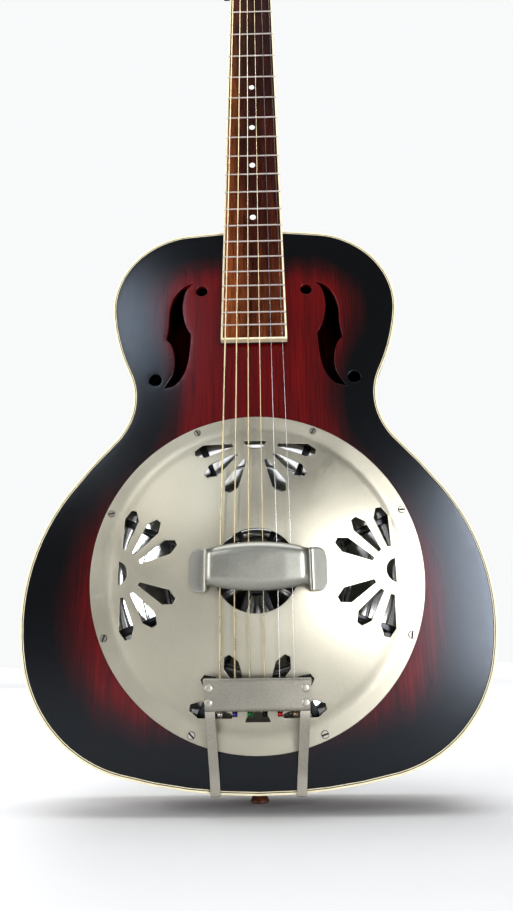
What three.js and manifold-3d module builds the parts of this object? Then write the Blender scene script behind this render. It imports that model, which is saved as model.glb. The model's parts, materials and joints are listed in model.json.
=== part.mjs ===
// Resonator guitar with a round neck: a wooden body, a spun cone under a slotted metal cover,
// a cast spider bridge, a strap tailpiece and open-gear tuners.
//
// Every piece is drawn in the guitar's plan frame, in millimetres: X runs across from the bass
// side to the treble side, Y runs along the neck with the nut at 0 and the tail at about -790,
// and Z is the height in front of the soundboard's face. The last group stands the guitar up,
// so that its neck points along +Z and its face along -Y.

import * as THREE from 'three';
import { mergeVertices } from 'three/addons/utils/BufferGeometryUtils.js';
import Module from 'manifold-3d';

const wasm = await Module();
wasm.setup();

// ---------------------------------------------------------------- driving dimensions

const SCALE = 635;                     // nut to bridge
const GLUE = 0.3;                      // clearance between neighbouring pieces
const JOIN_Y = -SCALE / 2;             // the 12th fret, where the neck meets the body

const BODY_TOP = -318.2;
const BODY_DEPTH = 86;
const PLATE = 4;                       // soundboard and back
const RIM = 3.5;
const BINDING_W = 2.5;
const BINDING_H = 6;
const LINING_W = 6;
const LINING_H = 12;
const BLOCK = { half: 32, neckDepth: 42, tailDepth: 26 };
const PEG_R = 4.6;                     // hole for the strap button's peg
const ARC_STEP = 4;                    // degrees between points of the body outline
// radius and sweep of each arc from the neck joint round to the tail; a negative radius is hollow
const BODY_ARCS = [[500, 7], [74.5, 90], [187, 18.6], [-57, 68.5], [385, 8], [162, 50], [105.6, 61.2]];

const COVER_Y = -SCALE;
const COVER_R = 129.5;
const COVER_T = 1.2;
const COVER_HOLE_R = 32;
const WELL_R = 124;
const WELL_WALL = 4.8;
const WELL_PORTS = 8;
const LEDGE_R = 110;
const LEDGE_Z = -12;
const LEDGE_T = 6;
const PORT = { radius: 15, z: -49 };
const CONE_R = 118;

const FAN_R = 107;                     // cover centre to the root of each fan of slots
const PETAL_ANGLES = [26.2, 52.5, 78.5];
const PETAL = { start: 18.8, shoulder: 43, tip: 50.3, startHalf: 1.3, shoulderHalf: 5.9, tipHalf: 2.1 };
const MOON = { half: 9.2, bulge: 7.2 };

const REST = {
  x: 1.4, padEnd: 52, padMiddle: 45.5, padHalf: 16.4, padStraight: 9, wallX: 38, endHalf: 13, bow: 22.4,
  top: 40, sheet: 1.6,
};

const BRIDGE_Y = -SCALE - 1;
const SPIDER = { hubR: 16, hubBottom: -9.5, hubTop: -1.5, legs: 8, legHalf: 3, footR: 115 };
const BLOCK_TOP = 15.5;                // top of the spider's saddle block
const SADDLE = { inner: 3.5, outer: 30.5, half: 1.5, bottom: 8.8 };
const STRING_SPREAD_BRIDGE = 53.5;
const STRING_SPREAD_NUT = 38;
const STRING_Z_BRIDGE = 23;
const STRING_RADII = [0.71, 0.585, 0.455, 0.355, 0.23, 0.2];     // bass to treble

const NECK_TILT = THREE.MathUtils.degToRad(1.5);
const BOARD_Z = 7;                     // fretboard face above the soundboard at the 12th fret
const BOARD_T = 6.3;
const BOARD_END = -119.5;              // end of the fretboard from the 12th fret
const BOARD_W_NUT = 45;
const BOARD_W_END = 57.4;
const BOARD_BINDING = 1.8;
const NUT_Y = SCALE / 2;               // nut from the 12th fret, along the neck
const NUT_W = 5;
const STRING_Z_NUT = 1.6;              // string centres above the fretboard's face at the nut
const ROD_START = 14;                  // heel end of the truss rod from the 12th fret
const NECK_TOP = -BOARD_T - GLUE;
const NECK_SHAFT = { heelStart: 58, nutDepth: 14.6, shaftDepth: 17, heelDepth: 74 };
const TENON = { half: 9, depth: 26, top: -17, bottom: -62 };

const HEAD_TILT = THREE.MathUtils.degToRad(14);
const HEAD_T = 14.5;
const HEAD_LENGTH = 166;
const OVERLAY_T = 1.5;
const POST_X = 22;
const POST_Y = [44, 82, 120];
const POST_R = 3;
const POST_Z = 13;                     // top of the posts above the headstock wood

const GEAR_TEETH = 14;
const GEAR_PITCH_R = 5.6;
const GEAR_T = 3;
const WORM_PITCH_R = 2.6;
const TOOTH_ADD = 0.75;                // tooth height outside the pitch circle
const TOOTH_DED = 0.95;                // tooth depth inside the pitch circle
const TOOTH_ROOT_HALF = 0.62;
const TOOTH_TIP_HALF = 0.24;
const WORM_PITCH = 2 * Math.PI * GEAR_PITCH_R / GEAR_TEETH;
const WORM_TURNS = 3;
const WORM_DEPTH = 4.9;                // worm axis behind the headstock's back
const WORM_OFFSET = GEAR_PITCH_R + WORM_PITCH_R;
const TUNER_PLATE_T = 1.2;
const BUTTON_X = 44;

const TAIL_PLATE = {
  front: -711.7, back: -734, frontHalf: 38.7, backHalf: 36.8, top: 19, sheet: 1.5,
  frontLip: 16.1, backLip: 9.5, lipHalf: 30.3,
};
const BALL_R = 1.9;
const BALL_Z = 12;
const STRAP = {
  width: 7.1, sheet: 1.2, x: 34.2, pivotY: -723, inwards: THREE.MathUtils.degToRad(3.55), end: -16,
};
const BUTTON_Z = -43;                  // strap button, at half the body's depth

// ---------------------------------------------------------------- finishes

function finish(color, roughness, metalness = 0) {
  return () => new THREE.MeshStandardMaterial({ color, roughness, metalness });
}
const mahogany = finish(0x5e0f0c, 0.35);
const darkMahogany = finish(0x2a0a08, 0.4);
const spruce = finish(0xb98f5c, 0.7);
const maple = finish(0xcda574, 0.6);
const rosewood = finish(0x6b3323, 0.55);
const ebony = finish(0x1c1512, 0.45);
const cream = finish(0xe3d3a6, 0.45);
const bone = finish(0xe8dfc8, 0.5);
const nickel = finish(0xc9c6b6, 0.38, 1);
const spunAluminium = finish(0xd9dadb, 0.25, 1);
const castAluminium = finish(0xa8a8a8, 0.5, 1);
const bronze = finish(0xb98a4a, 0.35, 1);
const steel = finish(0xb9bcc0, 0.3, 1);

// ---------------------------------------------------------------- shape helpers

const point = (x, y) => new THREE.Vector2(x, y);

// a closed manifold of a three.js geometry, and back again
function solid(geometry) {
  const bare = geometry.clone();
  bare.deleteAttribute('normal');
  bare.deleteAttribute('uv');
  const merged = mergeVertices(bare, 1e-4);
  const vertProperties = Float32Array.from(merged.attributes.position.array);
  const triVerts = Uint32Array.from(merged.index.array);
  return new wasm.Manifold(new wasm.Mesh({ numProp: 3, vertProperties, triVerts }));
}

function toGeometry(manifold) {
  const mesh = manifold.getMesh();
  const geometry = new THREE.BufferGeometry();
  geometry.setAttribute('position', new THREE.BufferAttribute(mesh.vertProperties, 3));
  geometry.setIndex(new THREE.BufferAttribute(mesh.triVerts, 1));
  return geometry;
}

const join = (...geometries) => toGeometry(geometries.map(solid).reduce((a, b) => a.add(b)));
const cut = (geometry, ...cutters) => toGeometry(
  cutters.map(solid).reduce((a, b) => a.subtract(b), solid(geometry)),
);
const common = (...geometries) => toGeometry(geometries.map(solid).reduce((a, b) => a.intersect(b)));

function extrude(shape, depth, options = {}) {
  return new THREE.ExtrudeGeometry(shape, { depth, bevelEnabled: false, curveSegments: 6, ...options });
}

// a shape in the plan, raised from one height to another
function slab(shape, bottom, top, curveSegments = 6) {
  return extrude(shape, top - bottom, { curveSegments }).translate(0, 0, bottom);
}

// a side profile of Y and Z points, spread across X from one place to another
function acrossX(points, left, right) {
  const geometry = extrude(new THREE.Shape(points), right - left);
  return geometry.rotateY(Math.PI / 2).rotateX(Math.PI / 2).translate(left, 0, 0);
}

function box(x0, x1, y0, y1, z0, z1) {
  const geometry = new THREE.BoxGeometry(x1 - x0, y1 - y0, z1 - z0);
  return geometry.translate((x0 + x1) / 2, (y0 + y1) / 2, (z0 + z1) / 2);
}

// a profile of radius and height points turned round the Z axis
function turned(profile, segments) {
  return new THREE.LatheGeometry(profile.map(([r, z]) => point(r, z)), segments).rotateX(Math.PI / 2);
}

// the closed profile of a sheet, from the radius and height of its upper face, outside first
function sheetProfile(upper, thickness) {
  const lower = upper.map(([r, z]) => [r, z - thickness]).reverse();
  return [...upper, ...lower, upper[0]];
}

// the closed outline of a bent strip, from the points of its upper face
function stripOutline(upper, thickness) {
  const count = upper.length;
  const lower = upper.map((here, i) => {
    const before = upper[Math.max(i - 1, 0)];
    const after = upper[Math.min(i + 1, count - 1)];
    const along = after.clone().sub(before).normalize();
    return point(here.x - along.y * thickness, here.y + along.x * thickness);
  });
  return [...upper, ...lower.reverse()];
}

function cylinderZ(radius, z0, z1, segments = 16) {
  return new THREE.CylinderGeometry(radius, radius, z1 - z0, segments).rotateX(Math.PI / 2)
    .translate(0, 0, (z0 + z1) / 2);
}

function cylinderX(radius, x0, x1, segments = 16) {
  return new THREE.CylinderGeometry(radius, radius, x1 - x0, segments).rotateZ(Math.PI / 2)
    .translate((x0 + x1) / 2, 0, 0);
}

function cylinderY(radius, y0, y1, segments = 16) {
  return new THREE.CylinderGeometry(radius, radius, y1 - y0, segments).translate(0, (y0 + y1) / 2, 0);
}

const trapezoid = (w0, y0, w1, y1) => new THREE.Shape([
  point(-w0 / 2, y0), point(-w1 / 2, y1), point(w1 / 2, y1), point(w0 / 2, y0),
]);

// a run of straight pieces, mitred where they meet
class StraightRuns extends THREE.Curve {
  constructor(points) {
    super();
    this.points = points;
  }

  getPoint(t) {
    const last = this.points.length - 1;
    const i = Math.min(Math.floor(t * last + 1e-9), last - 1);
    return this.points[i].clone().lerp(this.points[i + 1], t * last - i);
  }

  getPointAt(t) {
    return this.getPoint(t);
  }

  getTangentAt(t) {
    return this.getTangent(t);
  }
}

// a helix round the X axis whose section keeps facing outwards
class Helix extends THREE.Curve {
  constructor(radius, pitch, turns) {
    super();
    Object.assign(this, { radius, pitch, turns });
  }

  getPoint(t) {
    const angle = 2 * Math.PI * this.turns * t;
    const x = this.pitch * this.turns * (t - 0.5);
    return new THREE.Vector3(x, this.radius * Math.cos(angle), this.radius * Math.sin(angle));
  }

  getPointAt(t) {
    return this.getPoint(t);
  }

  computeFrenetFrames(segments) {
    const frames = { tangents: [], normals: [], binormals: [] };
    for (let i = 0; i <= segments; i++) {
      const angle = 2 * Math.PI * this.turns * i / segments;
      frames.normals.push(new THREE.Vector3(0, Math.cos(angle), Math.sin(angle)));
      frames.binormals.push(new THREE.Vector3(-1, 0, 0));
      frames.tangents.push(new THREE.Vector3(0, -Math.sin(angle), Math.cos(angle)));
    }
    return frames;
  }
}

// ---------------------------------------------------------------- groups

const guitar = new THREE.Group();
const neckFrame = new THREE.Group();   // origin on the fretboard's face at the 12th fret
neckFrame.position.set(0, JOIN_Y, BOARD_Z);
neckFrame.rotation.x = -NECK_TILT;
const headFrame = new THREE.Group();   // origin on the headstock's face behind the nut
headFrame.position.set(0, NUT_Y + NUT_W + GLUE, NECK_TOP);
headFrame.rotation.x = -HEAD_TILT;
guitar.add(neckFrame);
neckFrame.add(headFrame);

function add(name, geometry, material, parent = guitar) {
  const mesh = new THREE.Mesh(geometry, material());
  mesh.name = name;
  parent.add(mesh);
  return mesh;
}

// ---------------------------------------------------------------- body

// points round the body outline, moved inwards by an inset
function bodyOutline(inset = 0) {
  let heading = 0;
  const half = [point(0, BODY_TOP - inset)];
  const follow = (radius, sweep) => {
    const steps = Math.max(2, Math.ceil(sweep / ARC_STEP));
    const turn = Math.sign(radius) * THREE.MathUtils.degToRad(sweep / steps);
    const chord = 2 * Math.abs(radius - inset) * Math.sin(Math.abs(turn) / 2);
    for (let i = 0; i < steps; i++) {
      const middle = heading + turn / 2;
      const from = half[half.length - 1];
      half.push(point(from.x + chord * Math.cos(middle), from.y - chord * Math.sin(middle)));
      heading += turn;
    }
  };
  BODY_ARCS.forEach(([radius, sweep]) => follow(radius, sweep));
  const rest = Math.PI - heading;
  const tailRadius = half[half.length - 1].x / Math.sin(rest) + inset;
  follow(tailRadius, THREE.MathUtils.radToDeg(rest));
  half[half.length - 1].x = 0;
  const mirrored = half.slice(1, -1).reverse().map((p) => point(-p.x, p.y));
  return [...half, ...mirrored].reverse();
}

const bodyTail = Math.min(...bodyOutline().map((p) => p.y));

function bodyRing(outerInset, innerInset, bottom, top) {
  const shape = new THREE.Shape(bodyOutline(outerInset));
  shape.holes.push(new THREE.Path(bodyOutline(innerInset)));
  return slab(shape, bottom, top);
}

// one f-shaped sound hole; side is -1 on the bass side and 1 on the treble side
function fHole(side) {
  const tip = [54.7, -373.8];
  const outerNotch = [77.3, -430.3];
  const tail = [78.2, -477.4];
  const innerNotch = [55.8, -425.3];
  const edges = [
    [tip, [64, -377.6], [71, -386.4], [75, -400], [75.6, -417], outerNotch],
    [outerNotch, [72, -437.3], [69.3, -450], [70.4, -463.5], tail],
    [tail, [68.4, -474.1], [60.5, -462.5], [57, -446], innerNotch],
    [innerNotch, [60.9, -416], [64.1, -398], [61.4, -381.2], tip],
  ];
  const path = new THREE.Path();
  path.moveTo(side * tip[0], tip[1]);
  edges.forEach((edge) => path.splineThru(edge.slice(1).map(([x, y]) => point(side * x, y))));
  return path;
}

function roundHole(x, y, radius) {
  const path = new THREE.Path();
  path.absarc(x, y, radius, 0, 2 * Math.PI, true);
  return path;
}

function soundboard() {
  const shape = new THREE.Shape(bodyOutline(BINDING_W + GLUE));
  for (const side of [-1, 1]) {
    const hole = new THREE.Path(fHole(side).getPoints(2));
    shape.holes.push(hole);
    shape.holes.push(new THREE.Path(roundHole(side * 47.1, -381.9, 5.1).getPoints(6)));
    shape.holes.push(new THREE.Path(roundHole(side * 85.6, -469.4, 5.4).getPoints(6)));
  }
  shape.holes.push(new THREE.Path(roundHole(0, COVER_Y, WELL_R - WELL_WALL).getPoints(20)));
  return slab(shape, -PLATE, 0, 2);
}

// the space that the neck's tenon fills
function mortiseBox(y0, y1) {
  const half = TENON.half + GLUE;
  return box(-half, half, y0, y1, TENON.bottom - GLUE, TENON.top + GLUE);
}

function sideRim() {
  const rim = bodyRing(0, RIM, -BODY_DEPTH + BINDING_H + GLUE, -BINDING_H - GLUE);
  const mortise = mortiseBox(BODY_TOP - 10, BODY_TOP + 5);
  const pegHole = cylinderY(PEG_R, bodyTail - 10, bodyTail + 10, 14).translate(0, 0, BUTTON_Z);
  return cut(rim, mortise, pegHole);
}

const liningRing = (bottom, top) => bodyRing(RIM + GLUE, RIM + GLUE + LINING_W, bottom, top);
const insideTop = -PLATE - GLUE;
const insideBottom = -BODY_DEPTH + PLATE + GLUE;

// a block of end grain against the inside of the rim, notched where the linings pass
function endBlock(y0, y1) {
  const inside = slab(new THREE.Shape(bodyOutline(RIM + GLUE)), insideBottom, insideTop);
  const block = common(inside, box(-BLOCK.half, BLOCK.half, y0, y1, insideBottom, insideTop));
  const notch = RIM + LINING_W + 2 * GLUE;
  const upper = bodyRing(RIM, notch, insideTop - LINING_H - GLUE, insideTop + 1);
  const lower = bodyRing(RIM, notch, insideBottom - 1, insideBottom + LINING_H + GLUE);
  return cut(block, upper, lower);
}

function neckBlock() {
  const mortise = mortiseBox(BODY_TOP - TENON.depth - 2, BODY_TOP);
  return cut(endBlock(BODY_TOP - BLOCK.neckDepth, BODY_TOP), mortise);
}

function tailBlock() {
  const pegHole = cylinderY(PEG_R, bodyTail, bodyTail + BLOCK.tailDepth + 4, 14).translate(0, 0, BUTTON_Z);
  return cut(endBlock(bodyTail, bodyTail + BLOCK.tailDepth), pegHole);
}

function soundWell() {
  const inner = WELL_R - WELL_WALL;
  const wall = turned([
    [inner, insideBottom], [WELL_R, insideBottom], [WELL_R, insideTop], [inner, insideTop],
    [inner, LEDGE_Z], [LEDGE_R, LEDGE_Z], [LEDGE_R, LEDGE_Z - LEDGE_T], [inner, LEDGE_Z - LEDGE_T],
    [inner, insideBottom],
  ], 40);
  const ports = [];
  for (let i = 0; i < WELL_PORTS; i++) {
    const port = cylinderX(PORT.radius, LEDGE_R, WELL_R + 5, 12).translate(0, 0, PORT.z);
    ports.push(port.rotateZ(i * 2 * Math.PI / WELL_PORTS));
  }
  return cut(wall, ...ports).translate(0, COVER_Y, 0);
}

function backPlate() {
  return slab(new THREE.Shape(bodyOutline(BINDING_W + GLUE)), -BODY_DEPTH, -BODY_DEPTH + PLATE);
}

add('soundboard', soundboard(), mahogany);
add('back_plate', backPlate(), mahogany);
add('side_rim', sideRim(), darkMahogany);
add('top_binding', bodyRing(0, BINDING_W, -BINDING_H, 0), cream);
add('back_binding', bodyRing(0, BINDING_W, -BODY_DEPTH, -BODY_DEPTH + BINDING_H), cream);
add('top_lining', liningRing(insideTop - LINING_H, insideTop), spruce);
add('back_lining', liningRing(insideBottom, insideBottom + LINING_H), spruce);
add('neck_block', neckBlock(), spruce);
add('tail_block', tailBlock(), spruce);
add('sound_well', soundWell(), maple);

// ---------------------------------------------------------------- resonator

function cone() {
  const upper = [
    [CONE_R, -10.8], [LEDGE_R, -10.8], [45, -37], [40, -38.6], [35, -36.6],
    [12, -20.6], [4.2, -20],
  ];
  return turned(sheetProfile(upper, 0.9), 36).translate(0, COVER_Y, 0);
}

function spider() {
  const { hubR, hubBottom, hubTop, legs, legHalf, footR } = SPIDER;
  const foot = hubBottom - 1;
  const legProfile = [
    point(10, hubTop), point(60, -3.5), point(footR, -7), point(footR, foot), point(footR - 10, foot),
    point(footR - 15, -8.6), point(10, -9),
  ];
  const pieces = [cylinderZ(hubR, hubBottom, hubTop, 20)];
  for (let i = 0; i < legs; i++) {
    const leg = acrossX(legProfile, -legHalf, legHalf);
    pieces.push(leg.rotateZ((i + 0.5) * 2 * Math.PI / legs));
  }
  const blockHalf = SADDLE.outer + 0.5;
  pieces.push(box(-blockHalf, blockHalf, -4.8, 4.8, -5, BLOCK_TOP));
  const slotHalf = SADDLE.half + GLUE;
  const slot = box(-blockHalf - 1, blockHalf + 1, -slotHalf, slotHalf, SADDLE.bottom - GLUE, BLOCK_TOP + 1);
  const screwHole = cylinderZ(3, -20, 20, 12);
  return cut(join(...pieces), slot, screwHole).translate(0, BRIDGE_Y, 0);
}

function saddle(side) {
  const [left, right] = side < 0 ? [-SADDLE.outer, -SADDLE.inner] : [SADDLE.inner, SADDLE.outer];
  const top = STRING_Z_BRIDGE - 1.1;
  return box(left, right, BRIDGE_Y - SADDLE.half, BRIDGE_Y + SADDLE.half, SADDLE.bottom, top);
}

function spiderScrew() {
  const profile = [[0, -26], [2, -26], [2, 4], [2.7, 4], [2.7, 7.5], [0, 7.5]];
  return turned(profile, 12).translate(0, BRIDGE_Y, 0);
}

// the outline of one slot or half moon, drawn with +Y pointing from a fan's root to the hub
function petalOutline(angle) {
  const corners = [
    [-PETAL.startHalf, PETAL.start], [-PETAL.shoulderHalf, PETAL.shoulder], [-PETAL.tipHalf, PETAL.tip],
    [PETAL.tipHalf, PETAL.tip], [PETAL.shoulderHalf, PETAL.shoulder], [PETAL.startHalf, PETAL.start],
  ];
  return corners.map(([x, y]) => point(x, y).rotateAround(point(0, 0), angle));
}

function moonOutline() {
  const radius = (MOON.half ** 2 + MOON.bulge ** 2) / (2 * MOON.bulge);
  const start = Math.atan2(radius - MOON.bulge, MOON.half);
  const path = new THREE.Path();
  path.absarc(0, MOON.bulge - radius, radius, start, Math.PI - start, false);
  return path.getPoints(4);
}

function coverPlate() {
  const upper = [
    [COVER_R, 1.5], [117, 1.5], [113, 4.1], [88, 9], [60, 12.8], [COVER_HOLE_R, 14.8],
  ];
  const dome = turned(sheetProfile(upper, COVER_T), 36);
  const angles = PETAL_ANGLES.flatMap((a) => [a, -a]).map(THREE.MathUtils.degToRad);
  const outlines = [moonOutline(), ...angles.map(petalOutline)];
  const cutters = [];
  for (let quarter = 0; quarter < 4; quarter++) {
    for (const outline of outlines) {
      const cutter = slab(new THREE.Shape(outline), -2, 20).translate(0, -FAN_R, 0);
      cutters.push(cutter.rotateZ(quarter * Math.PI / 2));
    }
  }
  return cut(dome, ...cutters).translate(0, COVER_Y, 0);
}

// a sheet bent up from two foot pads into a raised bar, cut to a plan that is widest in the middle
function palmRest() {
  const { padEnd, padMiddle, padHalf, padStraight, wallX, endHalf, bow, sheet } = REST;
  const upper = [
    [padEnd, 16.5], [wallX + 1.7, 16.5], [wallX + 0.2, 18], [wallX - 0.8, 36], [32.5, 39.3], [22, REST.top],
  ];
  const right = upper.map(([x, z]) => point(x, z));
  const left = upper.map(([x, z]) => point(-x, z)).reverse();
  const section = new THREE.Shape(stripOutline([...right, ...left], sheet));
  const strip = extrude(section, 4 * endHalf).rotateX(Math.PI / 2).translate(0, 2 * endHalf, 0);
  const plan = new THREE.Shape();
  plan.moveTo(padEnd, -padStraight);
  for (const end of [-1, 1]) {
    const first = -end;                // side of the pad met first on the way round
    plan.quadraticCurveTo(first * padEnd, end * padHalf, first * padMiddle, end * padHalf);
    plan.quadraticCurveTo(first * (wallX + 1.2), end * padHalf, first * wallX, end * endHalf);
    plan.quadraticCurveTo(0, end * bow, end * wallX, end * endHalf);
    plan.quadraticCurveTo(end * (wallX + 1.2), end * padHalf, end * padMiddle, end * padHalf);
    plan.quadraticCurveTo(end * padEnd, end * padHalf, end * padEnd, end * padStraight);
    plan.lineTo(end * padEnd, -end * padStraight);
  }
  return common(strip, slab(plan, 10, 45, 6)).translate(REST.x, COVER_Y, 0);
}

add('resonator_cone', cone(), spunAluminium);
add('spider_bridge', spider(), castAluminium);
add('saddle_bass', saddle(-1), ebony);
add('saddle_treble', saddle(1), ebony);
add('spider_screw', spiderScrew(), steel);
add('cover_plate', coverPlate(), nickel);
add('palm_rest', palmRest(), nickel);

// ---------------------------------------------------------------- tailpiece

const stringShare = (i) => i / (STRING_RADII.length - 1) - 0.5;
const stringXAtBridge = (i) => STRING_SPREAD_BRIDGE * stringShare(i);
const stringXAtNut = (i) => STRING_SPREAD_NUT * stringShare(i);

function tailPlate() {
  const { front, back, frontHalf, backHalf, top, sheet, frontLip, backLip, lipHalf } = TAIL_PLATE;
  const half = frontHalf + 6;          // wider than the plate, which the plan then trims
  const profile = [
    point(front, frontLip), point(front, top), point(back, top), point(back, backLip),
    point(back + sheet, backLip), point(back + sheet, top - sheet), point(front - sheet, top - sheet),
    point(front - sheet, frontLip),
  ];
  const plan = slab(trapezoid(2 * backHalf, back - 1, 2 * frontHalf, front + 1), 0, 30);
  const slots = STRING_RADII.map((r, i) => {
    const x = stringXAtBridge(i);
    const slotHalf = r + 0.5;
    return box(x - slotHalf, x + slotHalf, back - 1, back + sheet + 1, backLip - 1, BALL_Z + 1.6);
  });
  const corners = [[-half, -lipHalf], [lipHalf, half]].map(([x0, x1]) => (
    box(x0, x1, back - 1, back + sheet, backLip - 1, top - sheet)));
  return cut(common(acrossX(profile, -half, half), plan), ...slots, ...corners);
}

// a strap from under the plate, over the cover's rim and down the tail
function tailStrap(side) {
  const tailFace = bodyTail + 0.4;
  const { width, sheet, x, pivotY, inwards, end } = STRAP;
  const upper = [
    point(-714, 17.2), point(-737, 17.2), point(-754, 10.5), point(-776, 3.4), point(tailFace + sheet, 2.2),
    point(tailFace - 0.5, 1.6), point(tailFace - sheet, 0.4), point(tailFace - sheet, end),
  ];
  const strip = acrossX(stripOutline(upper, sheet), -width / 2, width / 2);
  return strip.translate(0, -pivotY, 0).rotateZ(side * inwards).translate(side * x, pivotY, 0);
}

function strapButton() {
  const peg = PEG_R - 0.4;
  const end = 12;
  const profile = [
    [0, -20], [peg, -18], [peg, 0.6], [5.6, 0.6], [5, 3], [4.8, 6], [7, 9], [7.5, 10.5], [7, 11.6],
    [5.5, end], [0, end],
  ];
  return turned(profile, 16).rotateX(Math.PI / 2).translate(0, bodyTail, BUTTON_Z);
}

add('tailpiece_plate', tailPlate(), nickel);
add('tailpiece_strap_bass', tailStrap(-1), nickel);
add('tailpiece_strap_treble', tailStrap(1), nickel);
add('strap_button', strapButton(), darkMahogany);

// ---------------------------------------------------------------- neck

const boardWidth = (y) => THREE.MathUtils.mapLinear(y, NUT_Y, BOARD_END, BOARD_W_NUT, BOARD_W_END);

// the fretboard's plan moved inwards by an inset, raised from one height to another
function boardSlab(inset, bottom, top) {
  const wide = boardWidth(BOARD_END) - 2 * inset;
  const narrow = boardWidth(NUT_Y) - 2 * inset;
  const plan = slab(trapezoid(wide, BOARD_END + inset, narrow, NUT_Y), bottom, top);
  return cut(plan, box(-BOARD_W_NUT, BOARD_W_NUT, NUT_Y - GLUE, NUT_Y + 1, bottom - 1, top + 1));
}

// the board, with the wedge that carries it over the body; the binding sits on the wedge's edge
function fretboard() {
  const underBoard = -BOARD_T - GLUE;
  const overBody = (y) => -BOARD_Z + GLUE + y * Math.tan(NECK_TILT);
  const wedgeStart = -10;
  const wedge = acrossX([
    point(BOARD_END, overBody(BOARD_END)), point(wedgeStart, overBody(wedgeStart)),
    point(wedgeStart, underBoard), point(BOARD_END, underBoard),
  ].reverse(), -BOARD_W_END, BOARD_W_END);
  const board = boardSlab(BOARD_BINDING + GLUE / 2, -BOARD_T, 0);
  const neckEnd = boardSlab(BOARD_BINDING + GLUE / 2, underBoard - 0.1, -BOARD_T + 0.1);
  const overWedge = common(neckEnd, box(-BOARD_W_END, BOARD_W_END, BOARD_END, wedgeStart, -20, 0));
  return join(board, overWedge, common(wedge, boardSlab(0, -20, 0)));
}

function fretboardBinding() {
  return cut(boardSlab(0, -BOARD_T, 0), boardSlab(BOARD_BINDING, -BOARD_T - 1, 1));
}

// a half-round section swept along the neck, deepening into the heel at the body
function neckShaft() {
  const section = new THREE.Shape();
  section.absellipse(0, 0, 1, 1, Math.PI, 2 * Math.PI, false);
  const geometry = extrude(section, 1, { steps: 18 });
  const position = geometry.attributes.position;
  const { heelStart, nutDepth, shaftDepth, heelDepth } = NECK_SHAFT;
  const shaftShare = 0.33;             // share of the sections that lies before the heel
  for (let i = 0; i < position.count; i++) {
    const t = position.getZ(i);
    const y = t < shaftShare
      ? THREE.MathUtils.mapLinear(t, 0, shaftShare, NUT_Y + NUT_W + GLUE, heelStart)
      : THREE.MathUtils.mapLinear(t, shaftShare, 1, heelStart, -4);
    const half = boardWidth(y) / 2;
    const heel = THREE.MathUtils.smoothstep(heelStart - y, 0, heelStart) ** 1.6;
    const shaft = THREE.MathUtils.mapLinear(y, NUT_Y, heelStart, nutDepth, shaftDepth);
    const depth = THREE.MathUtils.lerp(shaft, heelDepth, heel);
    position.setXYZ(i, position.getX(i) * half, y, NECK_TOP + position.getY(i) * depth);
  }
  return geometry;
}

function headOutline() {
  const shape = new THREE.Shape();
  shape.moveTo(-22, 0);
  shape.lineTo(22, 0);
  shape.bezierCurveTo(24, 12, 32, 13, 33, 27);
  shape.lineTo(36.5, 148);
  shape.quadraticCurveTo(37.5, 160, 27, 161.5);
  shape.quadraticCurveTo(12, 163, 0, HEAD_LENGTH);
  shape.quadraticCurveTo(-12, 163, -27, 161.5);
  shape.quadraticCurveTo(-37.5, 160, -36.5, 148);
  shape.lineTo(-33, 27);
  shape.bezierCurveTo(-32, 13, -24, 12, -22, 0);
  return shape;
}

const postPlaces = [-1, 1].flatMap((side) => POST_Y.map((y) => [side * POST_X, y]));

function postHoles(radius) {
  return postPlaces.map(([x, y]) => cylinderZ(radius, -HEAD_T - 5, 10, 10).translate(x, y, 0));
}

function neck() {
  const head = cut(slab(headOutline(), -HEAD_T, 0, 5), ...postHoles(POST_R + 0.8));
  head.rotateX(headFrame.rotation.x).translate(0, headFrame.position.y, headFrame.position.z);
  const body = box(-60, 60, BODY_TOP - 60, BODY_TOP + GLUE, -120, 10);
  body.translate(0, -JOIN_Y, -BOARD_Z).rotateX(NECK_TILT);
  const tenon = box(-TENON.half, TENON.half, BODY_TOP - TENON.depth, BODY_TOP + 4, TENON.bottom, TENON.top);
  tenon.translate(0, -JOIN_Y, -BOARD_Z).rotateX(NECK_TILT);
  const rodSlot = box(-3.4, 3.4, ROD_START - 1, NUT_Y + 30, NECK_TOP - 10.4, NECK_TOP + 20);
  return cut(join(cut(neckShaft(), body), tenon, head), rodSlot);
}

function trussRod() {
  const bar = box(-3, 3, ROD_START, NUT_Y - 8, NECK_TOP - 10, NECK_TOP - GLUE);
  const nut = cylinderY(2.9, NUT_Y - 9, NUT_Y + 18, 6).translate(0, 0, NECK_TOP - 5);
  return join(bar, nut);
}

function overlay() {
  const window = box(-4, 4, -5, 27, -5, 5);
  const plate = cut(slab(headOutline(), GLUE, GLUE + OVERLAY_T, 5), window, ...postHoles(POST_R + 0.8));
  return cut(plate, box(-60, 60, -10, 1, -5, 10));
}

function rodCover() {
  const shape = new THREE.Shape();
  shape.moveTo(-9, 3);
  shape.lineTo(9, 3);
  shape.quadraticCurveTo(9, 24, 0, 36);
  shape.quadraticCurveTo(-9, 24, -9, 3);
  return slab(shape, OVERLAY_T + 2 * GLUE, OVERLAY_T + 2 * GLUE + 1.6, 6);
}

function nut() {
  const blank = acrossX([
    point(NUT_Y, NECK_TOP + GLUE), point(NUT_Y + NUT_W, NECK_TOP + GLUE), point(NUT_Y + NUT_W, 0.6),
    point(NUT_Y + 2.5, STRING_Z_NUT + 0.9), point(NUT_Y, STRING_Z_NUT + 0.9),
  ].reverse(), -BOARD_W_NUT / 2, BOARD_W_NUT / 2);
  const slots = STRING_RADII.map((r, i) => {
    const x = stringXAtNut(i);
    const slot = box(x - r - GLUE, x + r + GLUE, NUT_Y - 3, NUT_Y + 9, STRING_Z_NUT - r - GLUE, 10);
    return slot;
  });
  return cut(blank, ...slots, box(-30, 30, NUT_Y + 2.2, NUT_Y + 9, STRING_Z_NUT - 2.2, 10));
}

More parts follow.
